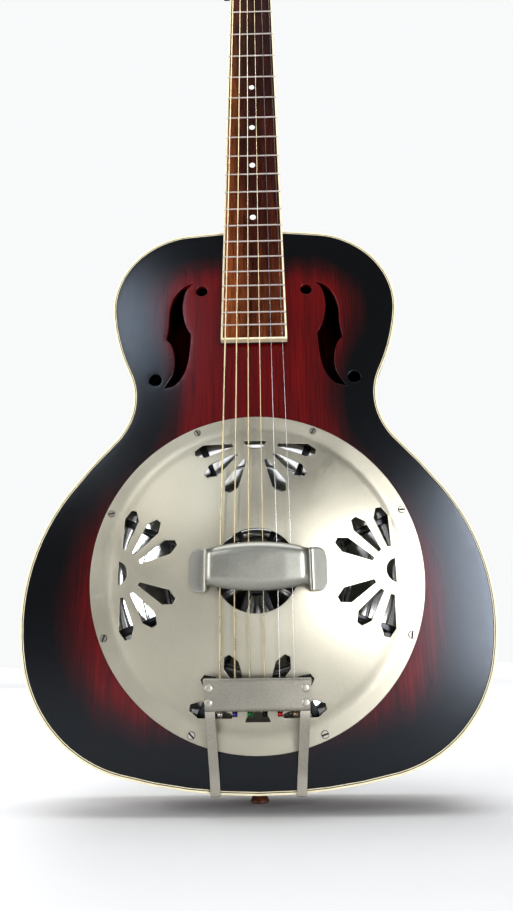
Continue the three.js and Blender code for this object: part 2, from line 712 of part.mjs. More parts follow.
add('neck', neck(), darkMahogany, neckFrame);
add('truss_rod', trussRod(), steel, neckFrame);
add('fretboard', fretboard(), rosewood, neckFrame);
add('fretboard_binding', fretboardBinding(), cream, neckFrame);
add('nut', nut(), bone, neckFrame);
add('headstock_overlay', overlay(), ebony, headFrame);
add('truss_rod_cover', rodCover(), ebony, headFrame);

// ---------------------------------------------------------------- tuners

const gearZ = -HEAD_T - WORM_DEPTH;

function gear() {
  const shape = new THREE.Shape();
  const outer = GEAR_PITCH_R + TOOTH_ADD;
  const inner = GEAR_PITCH_R - TOOTH_DED;
  const step = 2 * Math.PI / GEAR_TEETH;
  const tooth = [
    [inner, -TOOTH_ROOT_HALF], [outer, -TOOTH_TIP_HALF], [outer, TOOTH_TIP_HALF], [inner, TOOTH_ROOT_HALF],
  ];
  const corners = [];
  for (let i = 0; i < GEAR_TEETH; i++) {
    const middle = Math.PI / 2 + (i + 0.5) * step;     // a gap, not a tooth, faces the worm
    for (const [radius, half] of tooth) {
      const angle = middle + half / radius;
      corners.push(point(radius * Math.cos(angle), radius * Math.sin(angle)));
    }
  }
  shape.setFromPoints(corners);
  shape.holes.push(new THREE.Path(roundHole(0, 0, POST_R - 0.6 + GLUE).getPoints(4)));
  return slab(shape, -GEAR_T / 2, GEAR_T / 2);
}

function post() {
  const low = gearZ - GEAR_T / 2 - 1.5;
  const collar = gearZ + GEAR_T / 2 + 0.2;
  const profile = [
    [0, low], [POST_R + 1, low], [POST_R + 1, low + 1.3], [POST_R - 0.6, low + 1.3], [POST_R - 0.6, collar],
    [POST_R, collar], [POST_R, 5], [POST_R - 0.5, 6.5], [POST_R - 0.5, 9.5], [POST_R, POST_Z], [0, POST_Z],
  ];
  return turned(profile, 10);
}

function wormShaft(side) {
  const core = WORM_PITCH_R - TOOTH_DED;
  const reach = BUTTON_X - POST_X - 3;
  const shaft = cylinderX(core, -9.5, reach, 8);
  if (side < 0) shaft.rotateZ(Math.PI);
  const root = -TOOTH_DED - 0.15;      // the thread starts just inside the shaft's surface
  const section = new THREE.Shape([
    point(root, -TOOTH_ROOT_HALF), point(TOOTH_ADD, -TOOTH_TIP_HALF), point(TOOTH_ADD, TOOTH_TIP_HALF),
    point(root, TOOTH_ROOT_HALF),
  ]);
  const extrudePath = new Helix(WORM_PITCH_R, WORM_PITCH, WORM_TURNS);
  const thread = extrude(section, 0, { steps: 8 * WORM_TURNS, extrudePath });
  return join(shaft, thread);
}

function button(side) {
  const shape = new THREE.Shape();
  shape.absellipse(0, 0, 5.4, 7.6, 0, 2 * Math.PI, false);
  const grip = new THREE.ExtrudeGeometry(shape, {
    depth: 2.4, bevelThickness: 1.8, bevelSize: 1.8, bevelSegments: 1, curveSegments: 5,
  }).translate(9, 0, -1.2);
  const collar = cylinderX(2.9, 0, 4, 8);
  const whole = join(grip, collar);
  return side < 0 ? whole.rotateZ(Math.PI) : whole;
}

// the base plate of three tuners, with a pair of ears for each worm
function tunerPlate(side) {
  const top = -HEAD_T - GLUE;
  const bottom = top - TUNER_PLATE_T;
  const shape = new THREE.Shape();
  const y0 = POST_Y[0] - 14;
  const y1 = POST_Y[2] + 20;
  shape.moveTo(-8, y0);
  shape.lineTo(8, y0);
  shape.lineTo(8, y1);
  shape.lineTo(-8, y1);
  const pieces = [slab(shape, bottom, top)];
  const cutters = [];
  for (const y of POST_Y) {
    const wormY = y + WORM_OFFSET;
    for (const x of [-7.1, 7.1]) {
      pieces.push(box(x - 0.9, x + 0.9, wormY - 3.4, wormY + 3.4, gearZ - 3.2, bottom + 0.5));
    }
    const core = WORM_PITCH_R - TOOTH_DED + GLUE;
    cutters.push(cylinderX(core, -12, 12, 8).translate(0, wormY, gearZ));
    cutters.push(cylinderZ(POST_R + 0.5, bottom - 1, top + 1, 10).translate(0, y, 0));
  }
  return cut(join(...pieces), ...cutters).translate(side * POST_X, 0, 0);
}

// strings are numbered from 1 on the treble side; the outer strings use the posts by the nut
const tuners = [6, 5, 4, 1, 2, 3].map((string, k) => ({
  string,
  side: k < 3 ? -1 : 1,
  x: postPlaces[k][0],
  y: postPlaces[k][1],
}));

add('tuner_plate_bass', tunerPlate(-1), nickel, headFrame);
add('tuner_plate_treble', tunerPlate(1), nickel, headFrame);
for (const { string, side, x, y } of tuners) {
  add(`tuner_post_${string}`, post(), nickel, headFrame).position.set(x, y, 0);
  add(`tuner_gear_${string}`, gear(), finish(0xa88b52, 0.4, 1), headFrame).position.set(x, y, gearZ);
  add(`worm_shaft_${string}`, wormShaft(side), steel, headFrame).position.set(x, y + WORM_OFFSET, gearZ);
  add(`tuner_button_${string}`, button(side), nickel, headFrame)
    .position.set(side * (BUTTON_X - 3 + GLUE), y + WORM_OFFSET, gearZ);
}

// ---------------------------------------------------------------- strings

guitar.updateMatrixWorld(true);

// from the ball end over the saddle and the nut to the inner side of the post
function guitarString(number) {
  const i = STRING_RADII.length - number;
  const radius = STRING_RADII[i];
  const tuner = tuners.find((t) => t.string === number);
  const atBall = new THREE.Vector3(stringXAtBridge(i), TAIL_PLATE.back - BALL_R - 0.2, BALL_Z);
  const atSaddle = new THREE.Vector3(stringXAtBridge(i), BRIDGE_Y, STRING_Z_BRIDGE + radius * 0.5 - 0.4);
  const atNut = neckFrame.localToWorld(new THREE.Vector3(stringXAtNut(i), NUT_Y + 1.2, STRING_Z_NUT));
  const inner = tuner.x - tuner.side * (POST_R + radius + GLUE);
  const atPost = headFrame.localToWorld(new THREE.Vector3(inner, tuner.y, 7.6));
  const section = new THREE.Shape();
  section.absarc(0, 0, radius, 0, 2 * Math.PI, false);
  const extrudePath = new StraightRuns([atBall, atSaddle, atNut, atPost]);
  const wire = extrude(section, 0, { steps: 3, extrudePath, curveSegments: 4 });
  const ball = cylinderX(BALL_R, -1.8, 1.8, 12).translate(atBall.x, atBall.y, atBall.z);
  return join(wire, ball);
}

for (let number = 6; number >= 1; number--) {
  add(`string_${number}`, guitarString(number), number > 2 ? bronze : steel);
}

guitar.rotation.x = Math.PI / 2;

export default guitar;
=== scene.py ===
import json
import math

import bmesh
import bpy
import numpy as np
from mathutils import Matrix, Vector
from mathutils.geometry import delaunay_2d_cdt


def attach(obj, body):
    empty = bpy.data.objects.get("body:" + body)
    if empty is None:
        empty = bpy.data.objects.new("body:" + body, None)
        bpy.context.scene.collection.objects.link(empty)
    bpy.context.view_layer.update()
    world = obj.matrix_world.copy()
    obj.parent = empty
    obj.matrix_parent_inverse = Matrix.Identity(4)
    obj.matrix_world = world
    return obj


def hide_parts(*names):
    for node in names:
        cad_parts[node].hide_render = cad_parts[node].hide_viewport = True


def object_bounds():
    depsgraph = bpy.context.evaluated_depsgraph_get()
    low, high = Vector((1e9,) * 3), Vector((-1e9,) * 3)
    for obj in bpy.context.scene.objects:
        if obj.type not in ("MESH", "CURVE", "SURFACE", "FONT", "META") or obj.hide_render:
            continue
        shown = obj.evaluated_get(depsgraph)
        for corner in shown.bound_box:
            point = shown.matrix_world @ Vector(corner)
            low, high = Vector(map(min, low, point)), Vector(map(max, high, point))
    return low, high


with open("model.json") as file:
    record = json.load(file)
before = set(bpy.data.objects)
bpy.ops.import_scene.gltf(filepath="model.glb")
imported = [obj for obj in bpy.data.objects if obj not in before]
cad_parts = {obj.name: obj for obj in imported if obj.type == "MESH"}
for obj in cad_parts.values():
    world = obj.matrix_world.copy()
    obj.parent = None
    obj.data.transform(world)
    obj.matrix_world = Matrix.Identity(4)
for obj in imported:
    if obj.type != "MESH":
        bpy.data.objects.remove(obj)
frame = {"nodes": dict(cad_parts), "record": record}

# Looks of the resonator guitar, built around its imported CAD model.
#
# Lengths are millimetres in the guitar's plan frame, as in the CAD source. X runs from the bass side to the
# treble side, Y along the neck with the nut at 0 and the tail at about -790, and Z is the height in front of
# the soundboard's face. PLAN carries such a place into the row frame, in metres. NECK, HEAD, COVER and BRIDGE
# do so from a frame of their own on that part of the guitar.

cad_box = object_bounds()

# ---------------------------------------------------------------- driving dimensions

MM = 0.001
TURN = 2 * math.pi
EDGE_STEPS = 3
SCALE = 635.0
JOIN_Y = -SCALE / 2
BODY_TOP = -318.2
BODY_DEPTH = 86.0
PLATE_T = 4.0
RIM_T = 3.5
BINDING_W = 2.5
BINDING_H = 6.0
BODY_ARCS = [(500, 7), (74.5, 90), (187, 18.6), (-57, 68.5), (385, 8), (162, 50), (105.6, 61.2)]
ARC_STEP = 4.0

COVER_Y = -SCALE
COVER_R = 129.5
COVER_T = 1.2
COVER_HOLE_R = 32.0
SOUND_HOLE_R = 119.2
CONE_R = 118.0
LEDGE_R = 110.0
FAN_R = 107.0
CONE_GROOVES = (58.0, 61.0, 72.0, 75.0, 92.0)
PETAL_ANGLES = (26.2, 52.5, 78.5)
PETAL = dict(start=18.8, shoulder=43, tip=50.3, start_half=1.3, shoulder_half=5.9, tip_half=2.1)
MOON = dict(half=9.2, bulge=7.2)
COVER_SCREW_R = 125.3
DOME = dict(flange=1.5, crown=14.8, fall=11.9, fall_end=113.0, fall_power=1.4, rim_in=112.5, rim_out=118.5)
REST_X = 1.4
REST_END = 52.0
REST_WALL = 38.0
REST_PAD_HALF = 16.4
REST_PAD_CORNER = 7.0
REST_BAR_HALF = 13.0
REST_BAR_BOW = 4.7
SPIDER_LEGS = 8
COVER_SCREWS = 8

BRIDGE_Y = -SCALE - 1
STRING_RADII = (0.71, 0.585, 0.455, 0.355, 0.23, 0.2)
SPREAD_BRIDGE = 53.5
SPREAD_NUT = 38.0
STRING_Z_BRIDGE = 23.0
STRING_Z_NUT = 1.6

NECK_TILT = math.radians(1.5)
BOARD_Z = 7.0
BOARD_T = 6.3
BOARD_END = -119.5
BOARD_W_NUT = 45.0
BOARD_W_END = 57.4
BOARD_BINDING = 1.8
NUT_Y = SCALE / 2
NUT_W = 5.0
NECK_TOP = -6.6
FRETS = 19
DOT_FRETS = (5, 7, 9, 12)
HEAD_TILT = math.radians(14)
HEAD_T = 14.5
HEAD_LENGTH = 166.0
OVERLAY_T = 1.5
GLUE = 0.3

POST_X = 22.0
POST_Y = (44.0, 82.0, 120.0)
POST_R = 3.0
POST_Z = 13.0
GEAR_TEETH = 14
GEAR_PITCH_R = 5.6
GEAR_T = 3.0
WORM_PITCH_R = 2.6
TOOTH_ADD = 0.75
TOOTH_DED = 0.95
WORM_PITCH = TURN * GEAR_PITCH_R / GEAR_TEETH
WORM_OFFSET = 8.2
GEAR_Z = -HEAD_T - 4.9
TUNER_PLATE_T = 1.2
BUTTON_X = 44.0

TAIL_FRONT = -711.7
TAIL_BACK = -734.0
TAIL_TOP = 19.0
STRAP_X = 34.2
STRAP_MIDDLE_Y = -723.0
STRAP_TOE_IN = math.radians(3.55)
BALL_R = 1.9
BALL_Z = 12.0
BUTTON_Z = -43.0
F_HOLE_ROUNDS = ((5.1, 47.1, -381.9), (5.4, 85.6, -469.4))
SIDES = ((-1, "bass"), (1, "treble"))
RIB_SCALE = 0.31831

LENS = 24.79
EYE = (0.0101, -0.4908, -0.7021)
AIM_PITCH, AIM_YAW, AIM_ROLL = 0.3202, 0.0187, 0.0107


def shift(x, y, z):
    return Matrix.Translation((x, y, z))


def spin(angle, axis="Z"):
    return Matrix.Rotation(angle, 4, axis)


PLAN = Matrix(((MM, 0, 0, 0), (0, 0, -MM, 0), (0, MM, 0, 0), (0, 0, 0, 1)))
NECK = PLAN @ shift(0, JOIN_Y, BOARD_Z) @ spin(-NECK_TILT, "X")
HEAD = NECK @ shift(0, NUT_Y + NUT_W + GLUE, NECK_TOP) @ spin(-HEAD_TILT, "X")
COVER = PLAN @ shift(0, COVER_Y, 0)
BRIDGE = PLAN @ shift(0, BRIDGE_Y, 0)

# ---------------------------------------------------------------- shapes: each is (points, faces)


def v2(x, y):
    return Vector((x, y))


def circle(radius, count, centre=(0, 0)):
    angles = [TURN * i / count for i in range(count)]
    return [v2(centre[0] + radius * math.cos(a), centre[1] + radius * math.sin(a)) for a in angles]


def area(loop):
    return sum(a.cross(b) for a, b in zip(loop, loop[1:] + loop[:1])) / 2


def wound(loop, direction):
    """The loop, running anticlockwise for 1 and clockwise for -1."""
    return loop if area(loop) * direction > 0 else loop[::-1]


def offset(loop, distance):
    """The loop shifted to its left by a distance, with mitred corners."""
    shifted = []
    for before, here, after in zip(loop[-1:] + loop[:-1], loop, loop[1:] + loop[:1]):
        first, second = (here - before).normalized(), (after - here).normalized()
        mitre = v2(-first.y - second.y, first.x + second.x)
        shifted.append(here + mitre * (2 * distance / max(mitre.length_squared, 0.6)))
    return shifted


def rounded(points, radius, steps=4):
    """A run of straight pieces, with each inner corner rounded off."""
    run = [points[0]]
    for a, b, c in zip(points, points[1:], points[2:]):
        p = b + (a - b).normalized() * min(radius, (a - b).length / 2)
        q = b + (c - b).normalized() * min(radius, (c - b).length / 2)
        run += [p.lerp(b, t).lerp(b.lerp(q, t), t) for t in np.linspace(0, 1, steps + 1).tolist()]
    return run + [points[-1]]


def bezier(points, steps):
    """Points of a Bezier curve of any degree, without its last one."""
    run = []
    for i in range(steps):
        row = list(points)
        while len(row) > 1:
            row = [a.lerp(b, i / steps) for a, b in zip(row, row[1:])]
        run.append(row[0])
    return run


def spline(points, steps):
    """A smooth run through all points, by Catmull-Rom curves."""
    run = []
    for a, b, c, d in zip(points[:1] + points, points, points[1:], points[2:] + points[-1:]):
        for i in range(steps):
            t = i / steps
            run.append(b + (c - a) * (t / 2) + (a * 2 - b * 5 + c * 4 - d) * (t * t / 2)
                       + (b * 3 - a - c * 3 + d) * (t ** 3 / 2))
    return run + [points[-1]]


def height_of(surface, p):
    return surface(p) if callable(surface) else surface


def sides(loops):
    for loop in loops:
        yield from zip(loop, loop[1:] + loop[:1])


def inside(at, loops):
    """Which places lie within the loops, holes left out."""
    within = np.zeros(len(at), bool)
    for a, b in sides(loops):
        if a.y != b.y:
            crosses = (at[:, 1] < a.y) != (at[:, 1] < b.y)
            within ^= crosses & (at[:, 0] < (b.x - a.x) * (at[:, 1] - a.y) / (b.y - a.y) + a.x)
    return within


def clearance(at, loops):
    """The distance of each place from the nearest edge."""
    near = np.full(len(at), np.inf)
    for a, b in sides(loops):
        start, along = np.array(a), np.array(b - a)
        t = np.clip((at - start) @ along / (along @ along), 0, 1)
        near = np.minimum(near, np.hypot(*(at - start - t[:, None] * along).T))
    return near


def grid_inside(loops, step):
    """Places of a square grid that lie in the sheet, away from its edges."""
    outer = np.array([tuple(p) for p in loops[0]])
    low, high = outer.min(0), outer.max(0)
    xs, ys = np.meshgrid(np.arange(low[0], high[0], step), np.arange(low[1], high[1], step))
    at = np.stack([xs.ravel(), ys.ravel()], 1)
    keep = inside(at, loops) & (clearance(at, loops) > step * 0.45)
    return [v2(x, y) for x, y in at[keep].tolist()]


def plate(outer, holes=(), lower=0.0, upper=1.0, bevel=0.25, step=0.0):
    """A sheet between two heights, which may be functions of a place, with rounded edges."""
    loops = [wound(list(outer), 1)] + [wound(list(h), -1) for h in holes]
    turns = [math.pi / 2 * k / EDGE_STEPS for k in range(EDGE_STEPS + 1)]
    edge = [(bevel * (1 - math.sin(a)), bevel * (1 - math.cos(a))) for a in turns]
    rings = [(upper, -1, inset, drop) for inset, drop in edge]
    rings += [(lower, 1, inset, drop) for inset, drop in reversed(edge)]
    points, faces, tops, bottoms, flat = [], [], [], [], []
    for loop in loops:
        count = len(loop)
        start = len(points)
        for surface, way, inset, drop in rings:
            for p in offset(loop, inset):
                points.append(Vector((p.x, p.y, height_of(surface, p) + way * drop)))
        for k in range(len(rings) - 1):
            a, b = start + k * count, start + (k + 1) * count
            faces += [(a + i, b + i, b + (i + 1) % count, a + (i + 1) % count) for i in range(count)]
        flat.append(offset(loop, bevel))
        tops += range(start, start + count)
        bottoms += range(start + (len(rings) - 1) * count, start + len(rings) * count)
    extra = grid_inside(flat, step) if step else []
    for p in extra:
        for surface, known in ((upper, tops), (lower, bottoms)):
            known.append(len(points))
            points.append(Vector((p.x, p.y, height_of(surface, p))))
    edges, first = [], 0
    for loop in flat:
        edges += [(first + i, first + (i + 1) % len(loop)) for i in range(len(loop))]
        first += len(loop)
    places = [p for loop in flat for p in loop] + extra
    made, _, triangles, origin, _, _ = delaunay_2d_cdt(places, edges, [], 0, 1e-5)
    centres = np.array([(made[a] + made[b] + made[c]) / 3 for a, b, c in triangles])
    for triangle, within in zip(triangles, inside(centres, flat)):
        own = [origin[i][0] for i in triangle]
        if within:
            faces.append(tuple(tops[i] for i in own))
            faces.append(tuple(bottoms[i] for i in reversed(own)))
    return points, faces


def loft(loops, closed=False):
    """A skin over loops of equal length, capped unless it closes on itself."""
    count, rows = len(loops[0]), len(loops)
    points = [p for loop in loops for p in loop]
    faces = []
    for k in range(rows if closed else rows - 1):
        a, b = k * count, (k + 1) % rows * count
        faces += [(a + i, a + (i + 1) % count, b + (i + 1) % count, b + i) for i in range(count)]
    if not closed:
        faces.append(tuple(reversed(range(count))))
        faces.append(tuple(range((rows - 1) * count, rows * count)))
    return points, faces


def turned(profile, segments=48):
    """A closed profile of radius and height, turned round Z."""
    loops = []
    for i in range(segments):
        a = TURN * i / segments
        loops.append([Vector((r * math.cos(a), r * math.sin(a), z)) for r, z in profile])
    return loft(loops, closed=True)


def rounded_box(half_width, half_height, radius):
    """The section of a bar with rounded edges."""
    loop = []
    for quarter, (sx, sy) in enumerate(((1, 1), (-1, 1), (-1, -1), (1, -1))):
        for k in range(EDGE_STEPS + 1):
            a = math.pi / 2 * (quarter + k / EDGE_STEPS)
            loop.append(v2(sx * (half_width - radius) + radius * math.cos(a),
                           sy * (half_height - radius) + radius * math.sin(a)))
    return loop


def tangents(points):
    ahead, behind = points[1:] + points[-1:], points[:1] + points[:-1]
    return [(b - a).normalized() for a, b in zip(behind, ahead)]


def bar(points, across, sections):
    """Sections set along a run, each with its first axis across and its second at right angles to the run."""
    loops = []
    for p, t, section in zip(points, tangents(points), sections):
        side = across.normalized()
        up = side.cross(t).normalized()
        loops.append([p + side * s.x + up * s.y for s in section])
    return loft(loops)


def strap(points, across, half_width, thickness, edge=0.3):
    """A strip of sheet metal bent along a run of points, which lie on its middle surface."""
    return bar(points, across, [rounded_box(half_width, thickness / 2, edge)] * len(points))


def tube(points, radii, count):
    """A round rod along a run of points, without twist."""
    if not isinstance(radii, (list, tuple)):
        radii = [radii] * len(points)
    loops, normal = [], None
    for p, t, r in zip(points, tangents(points), radii):
        if normal is None:
            normal = t.orthogonal()
        normal = (normal - t * normal.dot(t)).normalized()
        other = t.cross(normal)
        turns = [TURN * i / count for i in range(count)]
        loops.append([p + (normal * math.cos(a) + other * math.sin(a)) * r for a in turns])
    return loft(loops)


def moved(shape, matrix):
    points, faces = shape
    return [matrix @ p for p in points], faces


def together(*shapes):
    points, faces = [], []
    for more, own in shapes:
        start = len(points)
        points += more
        faces += [tuple(i + start for i in f) for f in own]
    return points, faces


# ---------------------------------------------------------------- pieces


def piece(name, shape, finish, body="guitar", replaces=(), at=PLAN, sharp=38, burst=None):
    """A mesh of the guitar. burst, if given, says how far each place is out of the dark edge, from 0 to 1."""
    points, faces = shape
    mesh = bpy.data.meshes.new(name)
    mesh.from_pydata([at @ p for p in points], [], faces)
    if burst is not None:
        values = np.array(burst(points), np.float32)
        mesh.attributes.new("burst", "FLOAT", "POINT").data.foreach_set("value", values)
    work = bmesh.new()
    work.from_mesh(mesh)
    bmesh.ops.remove_doubles(work, verts=work.verts, dist=2e-6)
    bmesh.ops.dissolve_degenerate(work, edges=work.edges, dist=1e-7)
    bmesh.ops.recalc_face_normals(work, faces=work.faces)
    work.to_mesh(mesh)
    work.free()
    mesh.shade_smooth()
    mesh.set_sharp_from_angle(angle=math.radians(sharp))
    mesh.materials.append(finish)
    obj = bpy.data.objects.new(name, mesh)
    bpy.context.scene.collection.objects.link(obj)
    flat = obj.modifiers.new("flat faces stay flat", "WEIGHTED_NORMAL")
    flat.keep_sharp = True
    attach(obj, body)
    if replaces:
        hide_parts(*replaces)
    return obj


# ---------------------------------------------------------------- finishes


class Finish:
    """A Principled material, with short ways to build its nodes."""

    def __init__(self, name, **constants):
        self.material = bpy.data.materials.new(name)
        self.material.use_nodes = True
        self.tree = self.material.node_tree
        self.shader = self.tree.nodes["Principled BSDF"]
        for socket, value in constants.items():
            self.shader.inputs[socket.replace("_", " ")].default_value = value

    def node(self, kind, inputs, output=0, **settings):
        made = self.tree.nodes.new("ShaderNode" + kind)
        for key, value in settings.items():
            setattr(made, key, value)
        for key, value in inputs.items():
            if isinstance(value, bpy.types.NodeSocket):
                self.tree.links.new(value, made.inputs[key])
            else:
                made.inputs[key].default_value = value
        return made.outputs[output]

    def place(self, scale):
        """The place on the piece in metres, times a scale on each axis."""
        at = self.node("TexCoord", {}, "Object")
        return self.node("Mapping", {"Vector": at, "Scale": scale})

    def noise(self, scale, detail=4.0, roughness=0.55, distortion=0.0):
        inputs = {"Vector": self.place(scale), "Scale": 1.0, "Detail": detail, "Roughness": roughness,
                  "Distortion": distortion}
        return self.node("TexNoise", inputs)

    def ramp(self, value, *stops):
        made = self.tree.nodes.new("ShaderNodeValToRGB")
        elements = made.color_ramp.elements
        while len(elements) < len(stops):
            elements.new(0.5)
        for element, (position, colour) in zip(elements, stops):
            element.position = position
            element.color = (*colour, 1)
        self.tree.links.new(value, made.inputs[0])
        return made.outputs[0]

    def math(self, operation, a, b=0.0):
        return self.node("Math", {0: a, 1: b}, operation=operation)

    def range(self, value, low, high, to_low, to_high):
        return self.node("MapRange", {"Value": value, "From Min": low, "From Max": high, "To Min": to_low,
                                      "To Max": to_high})

    def vary(self, noise, low, high):
        """A value that follows a noise from low to high."""
        return self.range(noise, 0.3, 0.7, low, high)

    def times(self, a, b):
        return self.mix(1.0, a, b, "MULTIPLY")

    def mix(self, share, a, b, blend="MIX"):
        inputs = {0: share, 6: a, 7: b}
        for key in (6, 7):
            if isinstance(inputs[key], tuple) and len(inputs[key]) == 3:
                inputs[key] = (*inputs[key], 1)
        return self.node("Mix", inputs, 2, data_type="RGBA", blend_type=blend)

    def colour(self, value):
        self.tree.links.new(value, self.shader.inputs["Base Color"])

    def rough(self, value):
        self.tree.links.new(value, self.shader.inputs["Roughness"])

    def bump(self, height, depth):
        inputs = {"Height": height, "Distance": depth * MM, "Strength": 1.0}
        self.tree.links.new(self.node("Bump", inputs), self.shader.inputs["Normal"])


def grey(v):
    return (v, v, v)


def burst_wood(name, dark, middle, bright):
    """Stained wood under satin lacquer: dark at the edge, with red grain where the burst opens."""
    f = Finish(name, Specular_IOR_Level=0.42, Specular_Tint=(0.80, 0.88, 1.0, 1))
    grain = f.noise((700, 700, 16), 5, 0.6, 0.6)
    figure = f.noise((90, 90, 5), 3)
    cloud = f.noise((14, 14, 9), 2)
    attribute = f.node("Attribute", {}, "Fac", attribute_name="burst")
    edge = f.math("ADD", attribute, f.vary(cloud, -0.09, 0.09))
    edge = f.math("ADD", edge, f.vary(figure, -0.05, 0.05))
    stain = f.ramp(edge, (0.06, dark), (0.42, middle), (0.86, bright))
    streak = f.ramp(grain, (0.30, (0.42, 0.30, 0.30)), (0.52, grey(0.95)), (0.72, (1.5, 1.25, 1.15)))
    figured = f.times(stain, streak)
    bands = f.ramp(figure, (0.3, grey(0.72)), (0.7, grey(1.2)))
    f.colour(f.times(figured, bands))
    f.rough(f.vary(f.noise((400, 400, 100), 3), 0.18, 0.21))
    f.bump(grain, 0.008)
    return f.material


def plain_wood(name, dark, light, rough=0.6, grain_scale=(500, 500, 14), bump=0.05, specular=0.3):
    """Open-grained wood with pores along the neck's direction."""
    f = Finish(name, Specular_IOR_Level=specular)
    grain = f.noise(grain_scale, 6, 0.62, 0.8)
    broad = f.noise(tuple(s / 9 for s in grain_scale), 3)
    base = f.ramp(grain, (0.32, dark), (0.66, light))
    bands = f.ramp(broad, (0.3, grey(0.7)), (0.7, grey(1.15)))
    pores = f.noise((1600, 1600, 55), 2, 0.5)
    speck = f.ramp(pores, (0.30, grey(0.35)), (0.40, grey(1.0)))
    f.colour(f.times(f.times(base, bands), speck))
    f.rough(f.vary(broad, rough - 0.06, rough + 0.06))
    f.bump(f.mix(0.5, grain, pores), bump)
    return f.material


def board_wood_finish():
    """Rosewood with a painted highlight of glare along the bass edge and near the body, and painted shade
    that darkens it towards the nut.
    """
    f = Finish("fretboard_wood", Specular_IOR_Level=0.05)
    grain = f.noise((520, 520, 22), 6, 0.66, 1.0)
    figure = f.noise((110, 110, 9), 3)
    across = f.node("SeparateXYZ", {0: f.place((1, 1, 1))}, 0)
    along = f.node("SeparateXYZ", {0: f.place((1, 1, 1))}, 2)
    # Painted highlight: the paler wood stands in for glare along the bass edge and near the body end.
    wood_out_of_glare = f.ramp(grain, (0.34, (0.008, 0.0015, 0.001)), (0.66, (0.055, 0.009, 0.004)))
    wood_in_glare = f.ramp(grain, (0.32, (0.05, 0.012, 0.004)), (0.62, (0.27, 0.075, 0.020)))
    edge = f.math("ADD", f.range(across, -0.024, -0.006, 1, 0), f.vary(figure, -0.25, 0.25))
    glare_near_body = f.range(along, -0.43, -0.33, 0.35, 0.0)
    wood = f.mix(f.node("Clamp", {"Value": f.math("ADD", edge, glare_near_body)}), wood_out_of_glare, wood_in_glare)
    # Painted shade: the board darkens towards the nut.
    shade = f.ramp(f.range(along, -0.30, -0.05, 0, 1), (0, grey(1.0)), (1, grey(0.55)))
    pores = f.ramp(f.noise((1500, 1500, 70), 2), (0.32, grey(0.35)), (0.44, grey(1.0)))
    f.colour(f.times(f.times(wood, shade), pores))
    f.rough(f.vary(figure, 0.42, 0.52))
    f.bump(grain, 0.05)
    return f.material


def plastic(name, colour, rough=0.4, mottle=0.06):
    """Smooth plastic, bone or shell with a faint mottle."""
    f = Finish(name, Specular_IOR_Level=0.5)
    cloud = f.noise((140, 140, 140), 3)
    low = tuple(c * (1 - 2 * mottle) for c in colour)
    high = tuple(min(c * (1 + mottle), 1) for c in colour)
    f.colour(f.ramp(cloud, (0.3, low), (0.7, high)))
    f.rough(f.vary(f.noise((700, 700, 700), 2), rough - 0.06, rough + 0.06))
    f.bump(cloud, 0.02)
    return f.material


def plated(name, colour, rough, streak=(900, 900, 12), tarnish=0.12, pits=0.0, grain=0.006, fleck=1500,
           lines=0.06):
    """Plated or bare metal with fine brushing, cloudy tarnish and small pits."""
    f = Finish(name, Metallic=1.0)
    brushed = f.noise(streak, 3, 0.5)
    cloud = f.noise((26, 26, 26), 4)
    flecks = f.noise((fleck, 120, fleck), 2)
    base = f.ramp(cloud, (0.3, tuple(c * (1 - tarnish) for c in colour)), (0.7, colour))
    spots = f.ramp(flecks, (0.32, grey(1 - pits)), (0.44, grey(1.0)))
    shade = f.ramp(brushed, (0.3, grey(1 - lines)), (0.7, grey(1.02)))
    f.colour(f.times(f.times(base, spots), shade))
    f.rough(f.math("ADD", f.vary(cloud, rough - 0.04, rough + 0.04), f.vary(brushed, -0.03, 0.03)))
    f.bump(f.mix(0.5, brushed, flecks), grain)
    return f.material


def wound_string(name, colour, pitch):
    """Wrap wire round a core, one turn for each pitch along the string."""
    f = Finish(name, Metallic=1.0)
    at = f.place((0, 0, 1 / (pitch * MM)))
    wave = f.node("TexWave", {"Vector": at, "Scale": RIB_SCALE, "Distortion": 0.0}, 1, bands_direction="Z")
    cloud = f.noise((300, 300, 40), 3)
    # Painted shade: the grooves between the turns of wrap wire are darker.
    shade = f.ramp(wave, (0.05, tuple(c * 0.5 for c in colour)), (0.5, colour))
    worn = f.ramp(cloud, (0.3, grey(0.8)), (0.7, grey(1.1)))
    f.colour(f.times(shade, worn))
    f.rough(f.vary(cloud, 0.22, 0.36))
    f.bump(wave, pitch * 0.3)
    return f.material


def spun_metal():
    """Bright spun aluminium with turned lines round the cone's centre."""
    f = Finish("spun_aluminium", Metallic=1.0)
    at = f.node("TexCoord", {}, "Object")
    from_hub = f.node("VectorMath", {0: at, 1: (0, 0, -COVER_Y * MM)}, operation="ADD")
    flat = f.node("VectorMath", {0: from_hub, 1: (1, 0, 1)}, operation="MULTIPLY")
    radius = f.node("VectorMath", {0: flat}, "Value", operation="LENGTH")
    line = f.node("TexNoise", {"W": f.math("MULTIPLY", radius, 2600.0), "Detail": 2.0, "Scale": 1.0},
                  noise_dimensions="1D")
    cloud = f.noise((60, 60, 60), 3)
    base = f.ramp(line, (0.3, grey(0.8)), (0.6, (0.92, 0.93, 0.94)))
    f.colour(f.times(base, f.ramp(cloud, (0.3, grey(0.85)), (0.7, grey(1.0)))))
    f.rough(f.vary(line, 0.08, 0.16))
    f.bump(line, 0.006)
    return f.material


